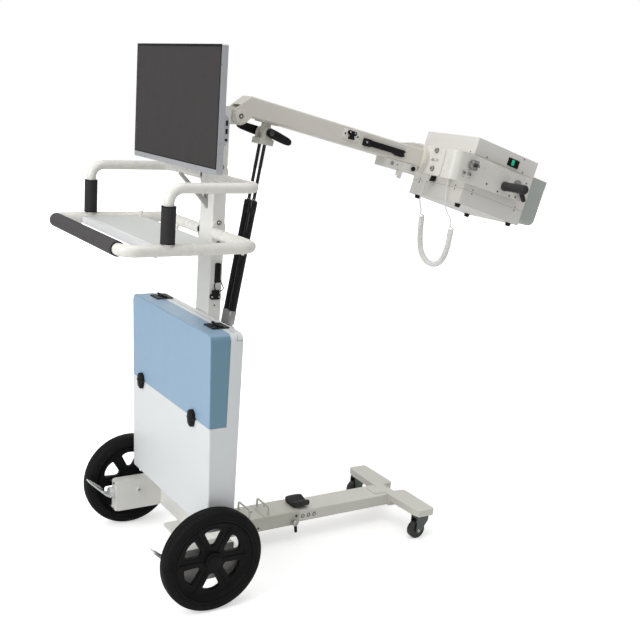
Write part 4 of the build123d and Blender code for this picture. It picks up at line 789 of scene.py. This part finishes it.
# Head rest on the sleeve: a soft rubber saddle, pinched at its waist, that takes the arm's end when it is
# folded down for travel.
REST_FOOT = 107.5
rest_half = [(33, 0), (36, 6), (38, 16), (34, 21), (26, 21.5), (16, 17), (8, 9)]
rest_outline = [(-33, 0)] + rest_half + [(0, 6)] + [(-y, z) for y, z in reversed(rest_half[1:])]
rest = bmesh.new()
rest_rings = []
rest_start = [(0, 0.93, 0.82), (0.04, 0.98, 0.95), (0.25, 1.0, 1.0)]
rest_end = [(0.75, 1.0, 1.0), (0.96, 0.98, 0.95), (1, 0.93, 0.82)]
for share, wide, tall in rest_start + [(0.5, 1.0, 1.02)] + rest_end:
    ring = []
    for y, z in rest_outline:
        ring.append(rest.verts.new((442 + 62 * share, 0.88 * y * wide, REST_FOOT + z * (tall if z > 4 else 1))))
    rest_rings.append(ring)
skinned(rest, rest_rings)
saddle_rubber = coated(
    "saddle_rubber", (0.016, 0.016, 0.017), (0.03, 0.03, 0.03), (0.5, 0.68), 700, 0.0001, 0.001
)
saddle = fitted("rest_saddle", [rest], saddle_rubber, sharp=180)
smooth = saddle.modifiers.new("round", "SUBSURF")
smooth.levels = 2
smooth.render_levels = 2
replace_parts(saddle, "rest_pad")

# Casters: pressed forks on swivel plates, with hard black wheels.
fork_steel = coated(
    "fork_steel", (0.10, 0.115, 0.11), (0.2, 0.21, 0.2), (0.2, 0.34), 1400, 0.00002, 0.0008, metal=0.9
)
finish_nodes(fork_steel, "caster_fork_left", "caster_fork_right")
caster_black = coated(
    "caster_black", (0.02, 0.02, 0.021), (0.04, 0.04, 0.04), (0.26, 0.42), 900, 0.00006, 0.001
)
finish_nodes(caster_black, "caster_wheel_left", "caster_wheel_right")
nut_profile = [(0, 3.4), (2.4, 3.3), (4.6, 2.6), (5.6, 1.2), (5.8, -0.4)]
for hand, side in HANDS:
    nuts = [turned(nut_profile, facing((838, side * 183 + out * 17, 30), (0, out, 0)), 22) for out in SIDES]
    fitted(f"caster_nuts_{hand}", nuts, bright_steel, f"caster_{hand}")

# Gas springs: black lacquered cylinders in a bright lower sleeve, and black rods under a cream clevis.
# The rods' and the clevis' tones meet at the clevis' lower face.
SPRING_FOOT = (173, 0, 735)
SPRING_LEAN = 8.89
SPRING_YS = (15, -15)
springs = machine @ shift(*SPRING_FOOT) @ Matrix.Rotation(radians(SPRING_LEAN), 4, "Y")
lacquer = coated(
    "black_lacquer", (0.006, 0.006, 0.0065), (0.01, 0.01, 0.01), (0.1, 0.18), 900, 0.00002, 0.0008,
    (0.015, 0.015, 0.015), shine=0.3,
)
finish_nodes(lacquer, "spring_cylinders")
clevis_cream = coated(
    "clevis_cream", (0.66, 0.645, 0.58), (0.58, 0.57, 0.51), (0.32, 0.44), 1000, 0.00003, 0.0008
)
tree = clevis_cream.node_tree
rod_way = Vector((sin(radians(SPRING_LEAN)), 0, cos(radians(SPRING_LEAN))))
rod_end = (springs @ Vector((0, 0, 553.5))).dot(rod_way)
coords = add_node(tree, "TexCoord")
along_rod = add_node(tree, "VectorMath", {1: rod_way}, operation="DOT_PRODUCT")
below = add_node(tree, "Math", {1: rod_end}, operation="LESS_THAN")
wire(tree, (coords, "Object", along_rod, 0), (along_rod, "Value", below, 0))
tone_and_painted_shade(clevis_cream, (0.014, 0.014, 0.015), below)
finish_nodes(clevis_cream, "spring_rods")
finish_nodes(stand_white, "spring_bracket")
sleeve_profile = [(12.1, 13), (13.2, 13.6), (13.4, 15), (13.4, 54), (13.0, 55), (12.1, 55.2)]
collar_profile = [
    (5.2, 384.5), (5.2, 389), (9.4, 389.2), (12.0, 387.4), (12.6, 384), (12.6, 352), (12.0, 350.5)
]
seal_profile = [(5.05, 389.2), (6.4, 389.4), (6.6, 392), (5.05, 393)]
sleeves = []
for y, side in zip(SPRING_YS, SIDES):
    sleeves.append(turned(sleeve_profile, shift(0, y, 0), 36))
    sleeves.append(socket_screw((0, y + side * 13.2, 46), (0, side, 0), 2.2, 1.2))
collars = [turned(collar_profile, shift(0, y, 0), 36) for y in SPRING_YS]
seals = [turned(seal_profile, shift(0, y, 0), 28) for y in SPRING_YS]
sleeve_alu = coated(
    "sleeve_alu", (0.5, 0.5, 0.49), (0.12, 0.12, 0.12), (0.2, 0.42), 300, 0.00004, 0.0006, metal=0.9
)
fitted("spring_sleeves", sleeves, sleeve_alu, "spring_cylinders", springs)
fitted("spring_collars", collars, lacquer, "spring_cylinders", springs)
fitted("rod_seals", seals, bright_steel, "spring_cylinders", springs)

# Clamp bolt and levers of the clevis: a steel bolt through the lug and two tapered nylon levers.
CLEVIS_UP = 589.73
head_profile = [(0, 5.2), (3.4, 5.0), (3.6, 4.0), (7.2, 4.0), (8.6, 3.2), (9.0, 1.6), (9.0, -0.5)]
bolt_heads = [turned(head_profile, facing((0, side * 43, CLEVIS_UP), (0, side, 0)), 6) for side in SIDES]
fitted("clamp_bolt", bolt_heads, dark_steel, "spring_rods", springs)
lever_outline = [
    (-9, -9), (-12, 0), (-9, 9), (0, 12.5), (14, 13), (60, 11), (71, 8), (75, 2), (75, -4), (70, -9),
    (58, -11.4), (14, -13), (0, -12.5),
]
eye_profile = [(11.4, 0.1), (12.6, 3), (12.6, 9), (11, 12), (9, 12.6)]
levers = []
for side, lever_angle in ((-1, -22 + SPRING_LEAN), (1, 165 + SPRING_LEAN)):
    c, s = polar(1, radians(lever_angle))
    place = Vector((0, side * 31, CLEVIS_UP))
    at = Matrix.Translation(place) @ Matrix(((c, -s, 0), (0, 0, side), (s, c, 0))).to_4x4()
    levers.append(slab(lever_outline, 0.2, 12.0, at, 3.0))
    levers.append(turned(eye_profile, facing(place, (0, side, 0)), 28))
clamp_levers = fitted("clamp_levers", levers, black_nylon, "spring_rods", springs, sharp=50)
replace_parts(clamp_levers, "rod_levers")

# Arm: welded box section in warm off-white. Its pivot has a turned cap with a socket screw, and a riveted
# keeper and a long rubber strap sit on its right flank.
ARM_PIVOT, ARM_DROOP = (166, 0, 1361), 12
arm = machine @ shift(*ARM_PIVOT) @ Matrix.Rotation(radians(ARM_DROOP), 4, "Y")
arm_warm = coated("arm_warm", (0.75, 0.72, 0.655), (0.67, 0.64, 0.58), (0.34, 0.46), 1000, 0.00004, 0.0016)
finish_nodes(arm_warm, "arm_tube")
finish_nodes(tube_white, "roll_lock")
pivot_faces = [((0, side * 29, 0), (0, side, 0)) for side in SIDES]
cap_ring = [(8.6, 7.0), (9.4, 7.9), (11, 8.2), (12.6, 7.4), (13.2, 6.6)]
fitted(
    "pivot_cap_rings", [turned(cap_ring, facing(*at), 40) for at in pivot_faces], arm_warm,
    "arm", arm
)
fitted("pivot_screws", [socket_screw(*at, 7.6, 8.4) for at in pivot_faces], dark_steel, "arm", arm)
arm_flank = shift(0, -30, 0) @ RIGHT_SIDE
KEEPER_AT = 384
fitted(
    "keeper_plate", [pad((62, 30, 5), 0, 3.0, arm_flank, (KEEPER_AT, 40), 0.8)], tube_white,
    "arm", arm
)
keeper_outline = [(-9, -10), (9, -10), (7, -2), (10, 5), (-10, 5), (-7, -2)]
strap_outline = [
    (450, 23.5), (548, 24), (560, 21), (592, 21), (600, 24), (595, 28), (593, 31.5), (595, 35), (600, 39),
    (592, 42), (450, 42),
]
strap_parts = [
    pad((33, 13, 6), 3, 8.5, arm_flank, (KEEPER_AT, 46.5), 1.4),
    slab(keeper_outline, 3, 10.6, arm_flank @ shift(KEEPER_AT, 40, 0), 1.4),
    pad((21, 6, 2.4), 3, 9.0, arm_flank, (KEEPER_AT, 29.5), 1.0),
    pad((28, 23, 3), 0, 11, arm_flank, (446, 32), 1.8),
    slab(strap_outline, 0.2, 8.6, arm_flank, 1.8),
    slab([(560, 19.5), (590, 19.5), (586, 23), (564, 23)], 0.2, 6.0, arm_flank, 1.0),
]
arm_strap = fitted("arm_strap", strap_parts, black_nylon, "arm", arm, sharp=50)
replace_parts(arm_strap, "arm_latch")
stud_profile = [(0, 2.6), (1.6, 2.4), (2.8, 1.4), (3.2, 0), (3.2, -1)]
studs = [turned(stud_profile, facing((KEEPER_AT + dx, -38, 47.5), (0, -1, 0)), 18) for dx in (-9, 9)]
studs.append(
    turned([(0, 1.6), (2.2, 1.4), (3.6, 0.8), (4.0, 0), (4.0, -1)], facing((441, -41, 33), (0, -1, 0)), 18)
)
fitted("strap_rivets", studs, bright_steel, "arm", arm)
plate_screws = [socket_screw((KEEPER_AT + dx, -33, 40), (0, -1, 0), 3.0, 1.2) for dx in (-24, 24)]
fitted("plate_screws", plate_screws, dark_steel, "arm", arm)

# Roll lock under the arm's end: a cream block with two cap screws, the index peg's collar and a black
# knob.
lock_screws = [
    socket_screw((along, -30, -6), (0, -1, 0), radius, 2.2) for along, radius in ((562, 6.4), (583, 2.6))
]
fitted("lock_screws", lock_screws, bright_steel, "arm", arm)
index_profile = [(7.8, 0), (7.8, 7), (7.0, 8), (6.4, 9.4), (6.6, 24), (5.6, 26), (0, 26.4)]
peg = turned(index_profile, facing((606, -24, -20), (0, 0, -1)), 24)
fitted("index_peg", [peg], tube_white, "arm", arm)
finish_nodes(tube_white, "yoke")
lock_profile = [(5.0, 0), (6.8, 0.8), (7.4, 2.4), (7.4, 6), (6.4, 7.6), (3.4, 8), (3.0, 6.6), (0, 6.6)]
lock_knob = turned(lock_profile, facing((646, -31, -5), (0, -1, 0)), 24)
fitted("lock_knob", [lock_knob], black_nylon, "arm", arm)

# Yoke: bent plate with a doubler and two screws in dark rings. A chrome star knob clamps it, beside two
# bent wire stops, and dark screws run along its lower edge.
finish_nodes(bright_steel, "yoke_fittings")
YOKE_SIDE = 165
doubler_faces = [facing((691, -72, up), (-1, 0, 0)) for up in (11, 69)]
doubler_profile = [(0, 3.2), (3.0, 3.2), (3.0, 6.0), (6.4, 6.2), (7.2, 5.2), (7.4, 2.6), (7.4, 0)]
doubler_ring = [(7.3, 0.9), (8.8, 0.8), (9.2, -0.4)]
doubler_screws = [turned(doubler_profile, at, 20) for at in doubler_faces]
fitted("doubler_screws", doubler_screws, bright_steel, "yoke", arm)
fitted(
    "doubler_rings", [turned(doubler_ring, at, 24) for at in doubler_faces], dark_steel, "yoke",
    arm
)
knob_face = facing((765, -171, 49), (0, -1, 0))
lobe_profile = [(5, 1), (7.4, 2.4), (7.8, 6), (7.4, 9.6), (5.4, 12.4), (2.6, 13.8), (0, 14.2)]
star = [turned([(9, 0), (12, 1), (12.4, 5), (11, 9), (8, 12), (0, 13)], knob_face, 32)]
for i in range(4):
    star.append(turned(lobe_profile, knob_face @ shift(*polar(9.6, tau * i / 4 + 0.5), 0), 24))
nut = slab([polar(6.6, tau * i / 6) for i in range(6)], 15, 19.6, knob_face)
knob_ring = turned([(8, 0.6), (12.6, 0.6), (13, -0.6)], facing((765, -168.5, 49), (0, -1, 0)), 28)
chrome = coated(
    "chrome", (0.36, 0.345, 0.33), (0.22, 0.21, 0.2), (0.06, 0.14), 1800, 0.00001, 0.0012,
    (0.75, 0.73, 0.7), metal=1.0
)
fitted("star_knob", star, chrome, "yoke", arm)
fitted("knob_nut", [nut, knob_ring], dark_steel, "yoke", arm)
stop_path = [
    (-3, -166, 24), (-3, -172, 24), (1, -175, 22.5), (4, -175, 19), (1, -175, 15.5), (-3, -174, 13),
    (-4, -172, 9.5), (0, -171, 7.5), (4, -170, 8.5),
]
wire_stops = [rod([(along + dx, y, up) for dx, y, up in stop_path], 1.4, 8) for along in (738, 762)]
fitted("wire_stops", wire_stops, chrome, "yoke", arm)
edge_spots = [(-1, 900, -7), (-1, 982, -8), (-1, 955, -9.5), (-1, 846, 6), (-1, 1014, 44)]
edge_spots += [(1, 900, -7), (1, 982, -8), (1, 846, 6), (1, 1014, 44)]
edge_screws = [
    socket_screw((along, side * YOKE_SIDE, up), (0, side, 0), 3.0, 1.4) for side, along, up in edge_spots
]
fitted("yoke_screws", edge_screws, dark_steel, "yoke", arm)

# Yoke grips and crank handles: moulded black grips, slightly tapered with fine flutes and a domed end.
grip_black = foamed("grip_black", (0.022, 0.021, 0.022), 900, 0.00015)
finish_nodes(grip_black, "yoke_grips")
grip_profile = [
    (13.6, 0.3), (15.0, 2), (15.2, 8), (14.2, 11), (14.0, 40), (14.4, 78), (15.0, 90), (14.4, 96),
    (12, 99.4), (7, 101), (0, 101.4),
]
grip_parts = [turned(grip_profile, facing((922, side * YOKE_SIDE, 15), (0, side, 0)), 40) for side in SIDES]
grips = fitted("moulded_grips", grip_parts, grip_black, "yoke", arm, sharp=60)
crank_profile = [(0, 5), (5.0, 5.6), (6.8, 8), (7.0, 12), (7.6, 30), (7.8, 50), (6.8, 56), (4, 58.4), (0, 59)]
crank_way = Matrix.Rotation(radians(-ARM_DROOP), 4, "Y") @ Vector((0.45, 0, -0.893))
crank_parts = [turned(crank_profile, facing((975, side * 179, 30), crank_way), 28) for side in SIDES]
cranks = fitted("crank_handles", crank_parts, grip_black, "yoke", arm, sharp=60)
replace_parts(cranks, "yoke_grips")
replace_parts(grips, "yoke_grips")

# Head: three powder-coated covers in light warm grey that meet at two seams, with small cross screws,
# tapered rubber feet and the mains rocker, whose green key is lit.


def lit_colour(name, colour, strength, dim=None, roughness=0.14, scale=40):
    """A key or a patch of the display, lit from behind a little unevenly."""
    material, tree = new_material(name)
    shader = tree.nodes["Principled BSDF"]
    shader.inputs["Roughness"].default_value = roughness
    shader.inputs["Emission Strength"].default_value = strength
    coords = add_node(tree, "TexCoord")
    drift = add_node(tree, "TexNoise", {"Scale": scale})
    ramp = add_node(tree, "ValToRGB")
    ramp.color_ramp.elements[0].color = (*(dim or [c * 0.86 for c in colour]), 1)
    ramp.color_ramp.elements[1].color = (*colour, 1)
    wire(
        tree, (coords, "Object", drift, "Vector"), (drift, 0, ramp, 0), (ramp, 0, shader, "Base Color"),
        (ramp, 0, shader, "Emission Color"),
    )
    return material


HEAD_SIDE, HEAD_REAR = 130, -185
HEAD_PIVOT, HEAD_DROOP = (1125.93, 0, 1187.63), 16
head = machine @ shift(*HEAD_PIVOT) @ Matrix.Rotation(radians(HEAD_DROOP), 4, "Y")
cover_grey = coated("cover_grey", (0.80, 0.78, 0.74), (0.74, 0.72, 0.685), (0.34, 0.46), 900, 0.00005, 0.0011)
finish_nodes(cover_grey, "head_lower", "head_middle", "head_upper")
seam_dark = coated("seam_shadow", (0.22, 0.21, 0.2), (0.18, 0.17, 0.16), (0.6, 0.7), 900, 0.00002, 0.0003)
seams = [pad((282.5, 260.5, 3.2), -0.35, 0.35, shift(-44, 0, up), (0, 0), 0.1) for up in (-69, 46)]
fitted("cover_seams", seams, seam_dark, "head", head)
side_spots = ((-129, 51), (40, 51), (-142, -63), (-142, -75), (57, -63), (57, -75), (30, 92))
rear_spots = [(y, 51) for y in (-110, -38, 34, 110)] + [(y, up) for y in (-92, 92) for up in (-75, -63)]
cover_screws = []
for side in SIDES:
    for along, up in side_spots:
        cover_screws.append(socket_screw((along, side * HEAD_SIDE, up), (0, side, 0), 2.4, 0.9))
cover_screws += [socket_screw((HEAD_REAR, y, up), (-1, 0, 0), 2.4, 0.9) for y, up in rear_spots]
fitted("cover_screws", cover_screws, dark_steel, "head", head)
finish_nodes(black_nylon, "head_trim")
rocker_green = lit_colour("rocker_green", (0.01, 0.55, 0.32), 0.35, (0.0, 0.30, 0.16), 0.18, 90)
green_key = [pad((12, 18.5, 1.4), 1.5, 6.0, shift(0, -HEAD_SIDE, 0) @ RIGHT_SIDE, (-18, 67), 1.2)]
fitted("rocker_key", green_key, rocker_green, "head", head)

# Touch screen on the head's cover: a flush glass panel that shows a plain exposure menu, with keys,
# sliders and a simple body outline, and no words.
glass_navy = coated(
    "display_glass", (0.012, 0.02, 0.055), (0.016, 0.026, 0.07), (0.1, 0.16), 2400, 0.000005, 0.0004,
    (0.02, 0.03, 0.06)
)
finish_nodes(glass_navy, "head_screen")
GLASS_UP = 101.5
on_glass = shift(0, 0, GLASS_UP) @ Matrix(((0, -1, 0), (-1, 0, 0), (0, 0, 1))).to_4x4()


def shown(name, patches, material):
    """Lit patches: each is its middle, width, height, thickness and corner, as the operator sees them."""
    parts = []
    for x, y, width, height, thick, radius in patches:
        corner = min(radius, width / 2.2, height / 2.2)
        parts.append(slab(rounded(width, height, corner, 3), 0.02, thick, on_glass @ shift(x, y, 0), 0.05))
    fitted(name, parts, material, "head", head)


shown("screen_ground", [(0, 0, 198, 149, 0.12, 2)], lit_colour("menu_navy", (0.02, 0.05, 0.16), 0.5))
shown("screen_panels", [(-50, -2, 84, 118, 0.2, 1.2)], lit_colour("menu_dark", (0.008, 0.016, 0.035), 0.4))
body_outlines = (
    [(-59, 34), (-41, 34), (-43, 8), (-42, 2), (-58, 2), (-57, 8)],
    [(-64, 32), (-60, 34), (-61, 16), (-66, -4), (-69, -4), (-65, 18)],
    [(-36, 32), (-40, 34), (-39, 16), (-34, -4), (-31, -4), (-35, 18)],
    [(-58, 1), (-51, 1), (-52, -20), (-53, -44), (-57, -44), (-58, -20)],
    [(-42, 1), (-49, 1), (-48, -20), (-47, -44), (-43, -44), (-42, -20)],
)
figure = [turned([(0, 0.1), (6.2, 0.1), (6.2, 0.36), (0, 0.36)], on_glass @ shift(-50, 44, 0), 28)]
figure += [slab(outline, 0.1, 0.36, on_glass, 0.05) for outline in body_outlines]
fitted("screen_figure", figure, lit_colour("menu_cyan", (0.10, 0.42, 0.85), 0.9), "head", head)
keys = [(x, 65, 20, 9) for x in (-78, -54)] + [(x, 65, 15, 9) for x in (46, 66, 86)]
keys += [(62, y, 40, 10) for y in (44, 26, 8, -10)] + [(x, -36, 15, 10) for x in (44, 64)]
keys += [(x, -52, 17, 10) for x in (52, 74)] + [(18, -68, 18, 8), (74, -68, 18, 8)]
menu_white = lit_colour("menu_white", (0.62, 0.78, 0.9), 0.9)
shown("screen_keys", [(*key, 0.25, 1.2) for key in keys], menu_white)
marks = [(22, y, 12, 3.2, 0.25, 0.6) for y in (44, 26, 8, -10, -36, -52)] + [(16, 65, 22, 3.2, 0.25, 0.6)]
shown("screen_marks", marks, lit_colour("menu_blue", (0.12, 0.3, 0.7), 0.8))
dots = [(-30, -66, 5, 5, 0.25, 2.2), (92, 65, 4, 4, 0.3, 1.6)]
shown("screen_dots", dots, lit_colour("menu_red", (0.55, 0.03, 0.03), 0.6))
rim_sides = ((0, 76.5, 204, 2.2), (0, -76.5, 204, 2.2), (-101, 0, 2.2, 151), (101, 0, 2.2, 151))
rim_strips = [pad((width, height, 1), 0, 0.5, on_glass, (x, y), 0.2) for x, y, width, height in rim_sides]
fitted("screen_rim", rim_strips, black_nylon, "head", head)

# Collimator: grey-green moulded housing with rounded corners. Its top carries the square scale plate with
# the field dial, a lamp button, and a side knob; its end has the clear window with its cross line.
coll_green = coated("coll_green", (0.47, 0.505, 0.48), (0.42, 0.455, 0.435), (0.36, 0.48), 700, 0.00008, 0.0012)
finish_nodes(coll_green, "collimator")
dial_cream = coated("dial_cream", (0.6, 0.6, 0.56), (0.54, 0.54, 0.5), (0.3, 0.42), 900, 0.00004, 0.001)
finish_nodes(dial_cream, "collimator_controls")
DIAL_X, DIAL_Y = 146.5, -10
dial = shift(DIAL_X, DIAL_Y, 60.5)
ticks = []
for i in range(13):
    tick_end = 21.5 if i % 3 else 23.2
    swing = Matrix.Rotation(radians(30 + 10 * i), 4, "Z")
    ticks.append(slab(rectangle(18.5, -0.35, tick_end, 0.35), 0, 0.12, dial @ swing, 0.02))
fitted("dial_ticks", ticks, black_nylon, "head", head)
corner_screws = [
    socket_screw((DIAL_X + dx, DIAL_Y + dy, 60.4), (0, 0, 1), 2.8, 1.2) for dx in (-28, 28) for dy in (-28, 28)
]
fitted("plate_corner_screws", corner_screws, bright_steel, "head", head)
knob = bmesh.new()
knob_rings = []
for radius, height in (
    (17.4, 0.2), (17.8, 1.2), (17.2, 4), (15.6, 6), (14.8, 8), (14.6, 22), (13.8, 24.6), (12.4, 25.4)
):
    ring = []
    for i in range(72):
        angle = tau * i / 72
        flute = 1 - (0.035 * (1 - cos(24 * angle)) / 2 if 7 < height < 23 else 0)
        ring.append(knob.verts.new(dial @ Vector((*polar(radius * flute, angle), height))))
    knob_rings.append(ring)
skinned(knob, knob_rings, (False, True))
fitted("field_knob", [knob], dial_cream, "head", head)
pointer = slab(rectangle(2, -0.6, 12, 0.6), 25.3, 25.8, dial @ Matrix.Rotation(radians(150), 4, "Z"), 0.1)
fitted("knob_pointer", [pointer], black_nylon, "head", head)
button_profile = [(10.9, 0), (10.9, 3.6), (10.0, 4.6), (8.8, 4.8), (8.4, 3.8), (7.8, 3.6), (6.0, 4.6), (0, 5.2)]
fitted("lamp_button", [turned(button_profile, shift(DIAL_X, 47, 59), 36)], bright_steel, "head", head)
WINDOW_X, WINDOW_UP = 212, -20
window_face = shift(WINDOW_X, 0, WINDOW_UP) @ AHEAD
window_sides = ((-58, 52, 58, 58), (-58, -58, 58, -52), (-58, -52, -52, 52), (52, -52, 58, 52))
window_rim = [slab(rectangle(*corners), 0, 1.6, window_face, 0.6) for corners in window_sides]
fitted("window_rim", window_rim, black_nylon, "head", head)
window_clear = coated(
    "window_pane", (0.10, 0.105, 0.10), (0.12, 0.125, 0.12), (0.04, 0.08), 2400, 0.000005, 0.0003
)
fitted(
    "window_pane", [pad((105, 105, 1), 0, 0.5, window_face, (0, 0), 0.1)], window_clear, "head",
    head
)
cross = [slab(rectangle(-x, -y, x, y), 0.5, 0.6, window_face, 0.02) for x, y in ((51, 0.3), (0.3, 51))]
fitted("cross_lines", cross, lit_colour("line_red", (0.5, 0.04, 0.03), 0.0), "head", head)

# Friction blocks between yoke and head: brown phenolic cloth laminate, with its layers on edge.
laminate = coated(
    "laminate_brown", (0.16, 0.075, 0.035), (0.26, 0.13, 0.06), (0.4, 0.56), 300, 0.0001, 0.0014,
    (0.3, 0.17, 0.09)
)
layers = {"Scale": 260, "Distortion": 1.4}
finish_nodes(
    patterned(laminate, "TexWave", "Fac", layers, wave_type="BANDS", bands_direction="Y"), "friction_blocks"
)

# Hand switch: a light moulded wand in a spring clip on the head's rear, with a ringed two-stage button and
# a flexible boot. The socket beside it takes the other end of its cord.
WAND_X, WAND_Y = -200, -66
switch_cream = coated("switch_cream", (0.68, 0.665, 0.61), (0.62, 0.6, 0.55), (0.3, 0.42), 1200, 0.00003, 0.001)
wand_profile = [
    (0, -46), (7, -46), (9, -43), (10.4, -36), (12, -30), (12, -12), (10.8, -8), (10.8, 18), (12, 22),
    (12, 38), (11, 41), (8.4, 42), (0, 42),
]
wand = turned(wand_profile, shift(WAND_X, WAND_Y, 0), 36)
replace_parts(fitted("hand_wand", [wand], switch_cream, "head", head), "hand_switch")
clip = []
arc = [polar(13.4, radians(40 + 280 * i / 24)) for i in range(25)]
for up in (-4, 12):
    clip.append(rod([(WAND_X + dx, WAND_Y + dy, up) for dx, dy in arc], 1.5, 8))
    clip.append(rod([(-187, WAND_Y, up), (-184, WAND_Y, up)], 3, 10))
fitted("switch_clip", clip, bright_steel, "head", head)
ring_profile = [(10.6, -0.8), (12.4, -0.4), (12.4, 0.8), (10.6, 1.2)]
button_profile = [(8.6, 0), (9.4, 1.4), (9.0, 3.2), (7.4, 3.8), (6.8, 2.8), (6.2, 2.8), (5.8, 6.4), (0, 7)]
rings = [turned(ring_profile, shift(WAND_X, WAND_Y, up), 32) for up in (-21, 30)]
rings.append(turned(button_profile, shift(WAND_X, WAND_Y, 40), 32))
fitted("switch_rings", rings, bright_steel, "head", head)
boot = []
for i in range(5):
    inner, outer = 5.6 - 0.5 * i, 6.6 - 0.6 * i
    fold_profile = [(inner, 0.9), (outer, 0.4), (outer, -0.6), (inner, -1.1)]
    boot.append(turned(fold_profile, facing((-194 - 2.4 * i, -14, 5), (-1, 0, 0)), 24))
fitted("cord_boot", boot, black_nylon, "head", head)

# Coiled cord: soft white PVC. It hangs from the socket, runs round one loop as a tight coil, and comes
# back up into the hand switch. Route points are those of the solid, in millimetres.
cord_white = coated("cord_white", (0.92, 0.92, 0.90), (0.88, 0.88, 0.86), (0.3, 0.42), 900, 0.00003, 0.0004)


def route(points):
    return [tuple(machine @ Vector(p)) for p in points]


def smooth_line(points, name, turn_steps):
    """A NURBS line through the route."""
    curve = bpy.data.curves.new(name, "CURVE")
    curve.dimensions = "3D"
    curve.resolution_u = turn_steps
    spline = add_spline(curve, "NURBS", points)
    spline.order_u = 3
    spline.use_endpoint_u = True
    return curve


head_turn = head.to_3x3()
exit_place = head @ Vector((-205, -14, 5))
exit_way = (head_turn @ Vector((-1, 0, 0))).normalized()
switch_place = head @ Vector((WAND_X, WAND_Y, -46))
switch_way = (head_turn @ Vector((0, 0, -1))).normalized()
socket_side = [tuple(exit_place), tuple(exit_place + exit_way * 0.018)]
socket_side += route(
    [(891, -9, 1247), (889, 4, 1222), (896, 18, 1192), (905, 40, 1162), (905, 56, 1108), (905, 38.9, 1083.2)]
)
LOOP_X = 905
loop_points = [
    (33, 1067), (34, 1035), (33, 1001), (28, 966), (14, 935), (-12, 915), (-44, 910), (-74, 918), (-98, 940),
    (-112, 975), (-117.5, 1012), (-122, 1048),
]
loop_side = route([(LOOP_X, y, z) for y, z in loop_points])
switch_side = [tuple(switch_place), tuple(switch_place + switch_way * 0.024)]
switch_side += route([(907, -77, 1145), (905, -79, 1114), (905, -94, 1086), (905, -118.6, 1072.6)])

axis_mesh = drawn(smooth_line(loop_side, "line", 24))
axis = [v.co.copy() for v in axis_mesh.vertices]
bpy.data.meshes.remove(axis_mesh)
reach_along = [0.0]
for here, after in zip(axis, axis[1:]):
    reach_along.append(reach_along[-1] + (after - here).length)
coil_len = reach_along[-1]
coil_turns = 66
coil_r = 0.0078
ramp = 0.012
steady = (coil_turns + 0.5) * tau / (coil_len - ramp)
step_len = coil_len / (coil_turns * 14)
helix = []
index = 0
s = 0.0
while s <= coil_len:
    while index < len(axis) - 2 and reach_along[index + 1] < s:
        index += 1
    share = (s - reach_along[index]) / max(1e-9, reach_along[index + 1] - reach_along[index])
    centre = axis[index].lerp(axis[index + 1], share)
    along = (axis[index + 1] - axis[index]).normalized()
    side_way = Vector((1, 0, 0))
    out_way = along.cross(side_way).normalized()
    if s < ramp:
        angle = steady * s * s / (2 * ramp)
    elif s > coil_len - ramp:
        left = coil_len - s
        angle = steady * (coil_len - ramp) - steady * left * left / (2 * ramp)
    else:
        angle = steady * (s - ramp / 2)
    angle += 1.5 * pi
    helix.append(tuple(centre + (side_way * cos(angle) + out_way * sin(angle)) * coil_r))
    s += step_len
cord_curve = smooth_line(socket_side + helix + switch_side[::-1], "coiled_cord", 2)
cord_curve.bevel_depth = 0.0025
cord_curve.bevel_resolution = 2
cord_curve.materials.append(cord_white)
coiled_cord = added("coiled_cord", cord_curve)
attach(coiled_cord, "head")
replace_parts(coiled_cord, "cord_socket_end", "cord_coil", "cord_switch_end")
